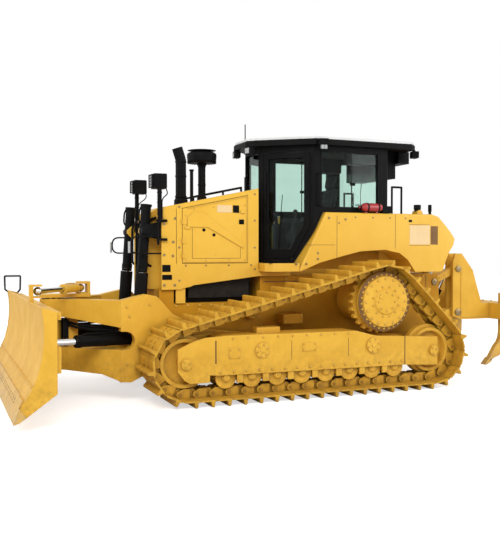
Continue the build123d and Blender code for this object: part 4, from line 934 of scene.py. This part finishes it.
def cab_walls():
    """Window seals, sliding windows' dividers, grab bars, louvres, wipers and the antenna's base."""
    trim = Piece("cab_trim", "black", bevel=0.002)
    seals = Piece("window_seals", "rubber")
    wall = Matrix.Translation(V(-75, 735, 0)) @ Matrix.Rotation(math.atan2(20, 1110), 4, "Z")
    for x0, x1, z0, z1 in border(-962, -93, 2308, 3037, 16):
        seals.box(x0, x1, 0, 6, z0, z1, wall)
    trim.box(-556, -540, -2, 3, 2325, 3020, wall)
    trim.box(-600, -520, 0, 8, 2600, 2640, wall)
    trim.tube([wall @ mm(-60, y, z) for y, z in ((0, 2330), (34, 2345), (34, 2730), (0, 2745))], 0.011)
    trim.box(430, 190, 560, 600, 1612, 1640)            # edge of the step under the door
    for z in range(2965, 3100, 15):
        trim.box(-1634, -1643, 60, 460, z, z + 5)
    trim.mirror()
    seals.mirror()
    for x, half, z0, z1, ahead in ((468, 232, 1746, 3034, 5), (-1186, 614, 2316, 3024, -5)):
        for y0, y1, low, high in border(-half, half, z0, z1, 14):
            seals.box(x, x + ahead, y0, y1, low, high)
    for x, z, out, tilt, reach, above in ((456, 1790, 16, 0.35, 620, 200), (-1176, 3000, -16, 2.7, 420, 0)):
        foot = V(x, 60, z)                              # wipers: pivot, arm, blade
        head = foot + mm(0, -0.3 * reach * math.sin(tilt), reach * math.cos(tilt))
        trim.bar(foot, foot + mm(out, 0, 0), 0.016, 14)
        trim.tube([foot + mm(out, 0, 0), head + mm(out, 0, 0)], 0.006, 8)
        trim.tube([head + mm(out * 0.6, 0, -240), head + mm(out * 0.6, 0, above)], 0.005, 8)
    for z in range(2765, 2920, 24):
        trim.box(-1478, -1484, -380, 380, z, z + 9)
    trim.turned(V(570, 0, 3178), V(570, 0, 3222), ((0, 0.034), (0.3, 0.032), (0.5, 0.018), (1, 0.012)), 20)
    done(trim, seals)


def work_lamps():
    """Lens, bezel, fins and bracket of the six lamps on the roof, each in its own frame, facing its X."""
    lens = Piece("work_lamp_lenses", "lens", bevel=0.0015)
    bezel = Piece("work_lamp_bezels", "black", bevel=0.0015)
    for x, y, z, heading in ((600, 225, 3050, 12), (-140, 858, 3120, 75), (-1600, 700, 3046, 165)):
        for s in SIDES:
            place = Matrix.Translation(V(x, s * y, z)) @ Matrix.Rotation(math.radians(s * heading), 4, "Z")
            if heading == 75:                           # this pair hangs its lens below the mount
                bezel.box(-30, 38, -52, 52, -94, -40, place)
                place = place @ Matrix.Translation((0, 0, -0.062)) @ Matrix.Diagonal((1, 0.86, 0.72, 1))
            lens.box(38, 43, -50, 50, -35, 35, place)
            for y0, y1, z0, z1 in ((-60, 60, 36, 44), (-60, 60, -44, -36),
                                   (-60, -51, -44, 44), (51, 60, -44, 44)):
                bezel.box(38, 47, y0, y1, z0, z1, place)
            for fin in range(-52, 45, 24):
                bezel.box(-46, -38, fin, fin + 6, -38, 38, place)
            bezel.box(-12, 12, -20, 20, 42, 62, place)
            bezel.bolt(place @ mm(0, 0, -44), (0, 0, -1), 0.007)
    done(lens, bezel)


def cab_door(name, s):
    """Seal, grab bar, rods and corner bolts of a door, in the frame of its wall: along it, out of it, up."""
    run, out = Vector((-542, 475, 0)).normalized(), Vector((475, 542, 0)).normalized()
    wall = Matrix.Translation(V(467, 260, 0)) @ Matrix((run, out, UP)).transposed().to_4x4()
    door = Piece(name + "_trim", "black", name)
    seal = Piece(name + "_seal", "rubber", name)
    rail = [(110, 1770), (415, 1770), (596, 2120), (596, 2950), (110, 2950)]
    for (a, b), (c, d) in zip(rail, rail[1:] + rail[:1]):
        seal.tube([wall @ mm(a, 3, b), wall @ mm(c, 3, d)], 0.008, 8)
    for radius, count, points in ((0.010, 10, ((84, 5, 2350), (84, 44, 2365), (84, 44, 2760), (84, 5, 2775))),
                                  (0.006, 8, ((250, -4, 1785), (252, 2, 1800), (285, 2, 2260))),
                                  (0.005, 8, ((262, -10, 2050), (300, -10, 2480)))):
        door.tube([wall @ mm(*p) for p in points], radius, count)
    for along, z in ((70, 1720), (70, 3000), (400, 1700), (600, 2990)):
        door.bolt(wall @ mm(along, 4, z), out, 0.008, 0.006)
    done(*(piece if s > 0 else piece.flip() for piece in (door, seal)))


def lining():
    """Head lining, posts, consoles with their buttons and levers, pedals, display."""
    inside = Piece("cab_lining", "plastic", bevel=0.004)
    inside.box(-1140, -650, 470, 684, 2890, 3092)
    inside.box(-1150, -1090, 610, 690, 2300, 2900)
    for x in range(-690, -1021, -110):
        inside.box(x, x - 80, 464, 470, 2930, 3010)
    inside.box(-330, 10, 255, 352, 2116, 2132)
    for x in range(-100, -221, -40):
        for y in (285, 319):
            inside.bar(V(x, y, 2130), V(x, y, 2140), 0.010, 12)
    inside.turned(V(-20, 304, 2110), V(-20, 304, 2180),
                  ((0, 0.040), (0.3, 0.032), (0.5, 0.026), (0.8, 0.022), (1, 0.020)), 16)
    inside.box(330, 372, 40, 110, 1660, 1820)
    inside.mirror()
    inside.box(-1130, 380, -300, 300, 3070, 3094)
    inside.box(286, 332, -122, 122, 2132, 2320)
    inside.box(-640, -600, -200, 200, 2030, 2045)
    for x in (270, 300, 330):
        inside.bar(V(x, 0, 1660), V(x, 0, 1664), 0.03, 16)
    screen = Piece("display_glass", "glass")
    screen.box(281, 287, -96, 96, 2152, 2302)
    done(inside, screen)


roof()
cab_walls()
work_lamps()
for name, side in (("cab_door_left", 1), ("cab_door_right", -1)):
    cab_door(name, side)
lining()


# ------------------------------------------------------------------ seat
def blank(name, middle, size, lean, crown):
    """Divided box with bulging faces and drawn-in sides; size in mm, lean in degrees about Y."""
    bm = bmesh.new()
    bmesh.ops.create_cube(bm, size=1.0)
    bmesh.ops.subdivide_edges(bm, edges=bm.edges[:], cuts=10, use_grid_fill=True)
    turn = Matrix.Rotation(math.radians(lean), 4, "Y")
    for v in bm.verts:
        u, w, h = v.co * 2
        bulge = (1 - u * u) * (1 - w * w) * crown
        edge = 1 - 0.05 * (abs(u) ** 6 + abs(w) ** 6)
        lift = h * (1 - 0.28 * max(abs(u), abs(w)) ** 5) + bulge * (1 if h > 0 else 0.3 * h)
        v.co = turn @ Vector([part * length / 2000 for part, length in zip((u * edge, w * edge, lift), size)])
    mesh = bpy.data.meshes.new(name)
    bm.to_mesh(mesh)
    bm.free()
    obj = bpy.data.objects.new(name, mesh)
    obj.location = V(*middle)
    bpy.context.scene.collection.objects.link(obj)
    return obj


def apply_modifiers(obj):
    bpy.context.view_layer.update()
    mesh = bpy.data.meshes.new_from_object(obj.evaluated_get(bpy.context.evaluated_depsgraph_get()))
    obj.modifiers.clear()
    old, obj.data = obj.data, mesh
    bpy.data.meshes.remove(old)


def stuff(obj, cap):
    """Let cloth settle under pressure for 20 frames, with no vertex moved by more than cap, in metres."""
    start = [v.co.copy() for v in obj.data.vertices]
    cloth = obj.modifiers.new("cloth", "CLOTH")
    settings = cloth.settings
    settings.quality = 5
    settings.mass = 0.4
    settings.tension_stiffness = settings.compression_stiffness = 25
    settings.shear_stiffness = 12
    settings.bending_stiffness = 4
    settings.use_pressure = True
    settings.uniform_pressure_force = 4.0
    settings.effector_weights.gravity = 0
    cloth.point_cache.frame_start, cloth.point_cache.frame_end = 1, 20
    for step in range(1, 21):
        bpy.context.scene.frame_set(step)
    apply_modifiers(obj)
    bpy.context.scene.frame_set(1)
    for v, rest in zip(obj.data.vertices, start):
        move = v.co - rest
        if move.length > cap:
            v.co = rest + move.normalized() * cap


def sew(obj, size, lean, channels):
    """Press channels across the upper face and a seam along each side."""
    turn = Matrix.Rotation(math.radians(lean), 3, "Y")
    for v in obj.data.vertices:
        local = turn.transposed() @ v.co
        if local.z < 0:
            continue
        u, w = local.x * 2000 / size[0], abs(local.y) * 2000 / size[1]
        press = math.exp(-((w - 0.66) / 0.035) ** 2)
        for k in range(channels if w < 0.62 else 0):
            middle = -0.55 + 1.1 * (k + 0.5) / channels
            press += math.exp(-((u - middle) / 0.035) ** 2)
        v.co -= turn @ Vector((0, 0, 0.007 * min(press, 1.2)))


def cushion(name, middle, size, lean, channels=0, crown=0.35, cap=0.024):
    """Stuffed seat part: blank, voxel remesh, cloth under pressure, then seams."""
    obj = blank(name, middle, size, lean, crown)
    voxel = obj.modifiers.new("voxels", "REMESH")
    voxel.mode = "VOXEL"
    voxel.voxel_size = 0.007
    apply_modifiers(obj)
    stuff(obj, cap)
    sew(obj, size, lean, channels)
    smooth = obj.modifiers.new("smooth", "SUBSURF")
    smooth.levels = smooth.render_levels = 1
    obj.data.materials.clear()
    obj.data.materials.append(M["fabric"])
    obj.data.polygons.foreach_set("use_smooth", [True] * len(obj.data.polygons))
    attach(obj, "tractor")
    return obj


def seat_shell():
    """Pan, back, bellows of the suspension, headrest's rods and armrest brackets."""
    shell = Piece("seat_shell", "plastic", bevel=0.006)
    shell.side(((-520, 1940), (-470, 1940), (-430, 2150), (-500, 2150)), 256, 300)
    shell.box(-500, -110, 294, 346, 2138, 2156)
    shell.bar(V(-694, 70, 2590), V(-716, 70, 2660), 0.008, 10)
    shell.mirror()
    shell.side(((-500, 1890), (-90, 1890), (-70, 1930), (-520, 1930)), -235, 235)
    shell.side(((-560, 1930), (-520, 1930), (-690, 2600), (-722, 2600)), -215, 215)
    shell.box(-500, -120, -190, 190, 1640, 1700)
    for i in range(7):
        half = 168 if i % 2 else 180
        shell.box(-300 - half, -320 + half, -half, half, 1700 + i * 27, 1727 + i * 27)
    return shell


def seat():
    """Five cushions on a shell, in place of the plain seat."""
    parts = [cushion("seat_cushion", (-300, 0, 1976), (440, 470, 90), 3, 3),
             cushion("seat_back", (-612, 0, 2320), (560, 440, 84), 78, 4),
             cushion("seat_headrest", (-712, 0, 2700), (170, 250, 66), 80)]
    for name, y in (("seat_armrest_left", 320), ("seat_armrest_right", -320)):
        parts.append(cushion(name, (-300, y, 2180), (420, 62, 56), 0, crown=0.25, cap=0.010))
    for obj in parts + done(seat_shell()):
        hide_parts("operator_seat")


seat()


# ------------------------------------------------------------------ stage
def floor():
    """Pale floor, lifted for the camera alone, so that it shows white and still takes the shadow."""
    bpy.ops.mesh.primitive_plane_add(size=60, location=(0, 0, cad_low[2] - 0.0005))
    obj = bpy.context.object
    obj.name = "studio_floor"
    material, tree, shader = node_tree("studio_floor")
    patches = noise(tree, coordinates(tree), 1.3, 3.0)
    path = add_node(tree, "LightPath", {})
    wire(shader, {"Base Color": ramp(tree, patches, (0.3, (0.83, 0.83, 0.82)), (0.7, (0.86, 0.86, 0.85))),
                  "Roughness": 0.9, "Specular IOR Level": 0.1, "Emission Color": (1, 1, 1),
                  "Emission Strength": math_node(tree, "MULTIPLY", path.outputs["Is Camera Ray"], 0.6)})
    obj.data.materials.append(material)


def world():
    """White sky, brighter to the camera and in panes and mirrors than as light."""
    sky = bpy.data.worlds.new("studio")
    bpy.context.scene.world = sky
    sky.use_nodes = True
    tree = sky.node_tree
    rays = add_node(tree, "LightPath", {}).outputs
    seen = math_node(tree, "MAXIMUM", rays["Is Camera Ray"], rays["Is Transmission Ray"])
    seen = math_node(tree, "MAXIMUM", seen, rays["Is Glossy Ray"])
    level = add_node(tree, "MapRange", {"Value": seen, "To Min": 0.56, "To Max": 1.0})
    wire(tree.nodes["Background"], {"Color": (1, 1, 1), "Strength": level.outputs["Result"]})


def area(name, place, target, size, power):
    data = bpy.data.lights.new(name, "AREA")
    data.shape = "RECTANGLE"
    data.size, data.size_y = size
    data.energy = power
    lamp = bpy.data.objects.new(name, data)
    lamp.location = place
    lamp.rotation_euler = (Vector(target) - Vector(place)).to_track_quat("-Z", "Y").to_euler()
    bpy.context.scene.collection.objects.link(lamp)


def camera():
    """The photo's camera, at head height, ahead and to the left, pitched down by 1.5 degrees."""
    data = bpy.data.cameras.new("camera")
    data.lens = 51.07
    data.sensor_width = 36.0
    data.sensor_fit = "AUTO"
    data.clip_end = 200
    obj = bpy.data.objects.new("camera", data)
    bpy.context.scene.collection.objects.link(obj)
    pitch = math.radians(1.5)
    heading = Vector((-0.3827 * math.cos(pitch), -0.9239 * math.cos(pitch), -math.sin(pitch)))
    obj.location = (4.268, 9.409, 1.77)
    obj.rotation_euler = heading.to_track_quat("-Z", "Y").to_euler()
    bpy.context.scene.camera = obj


floor()
world()
area("key", (5.5, 9.5, 8.5), (0.2, 0.4, 1.3), (6, 5), 760)
area("fill", (-8.0, 7.0, 4.5), (-0.5, 0.0, 1.4), (6, 5), 340)
area("front", (9.5, -2.0, 5.0), (2.5, 0.0, 1.2), (5, 5), 230)
camera()
bpy.context.scene.view_settings.view_transform = "Standard"
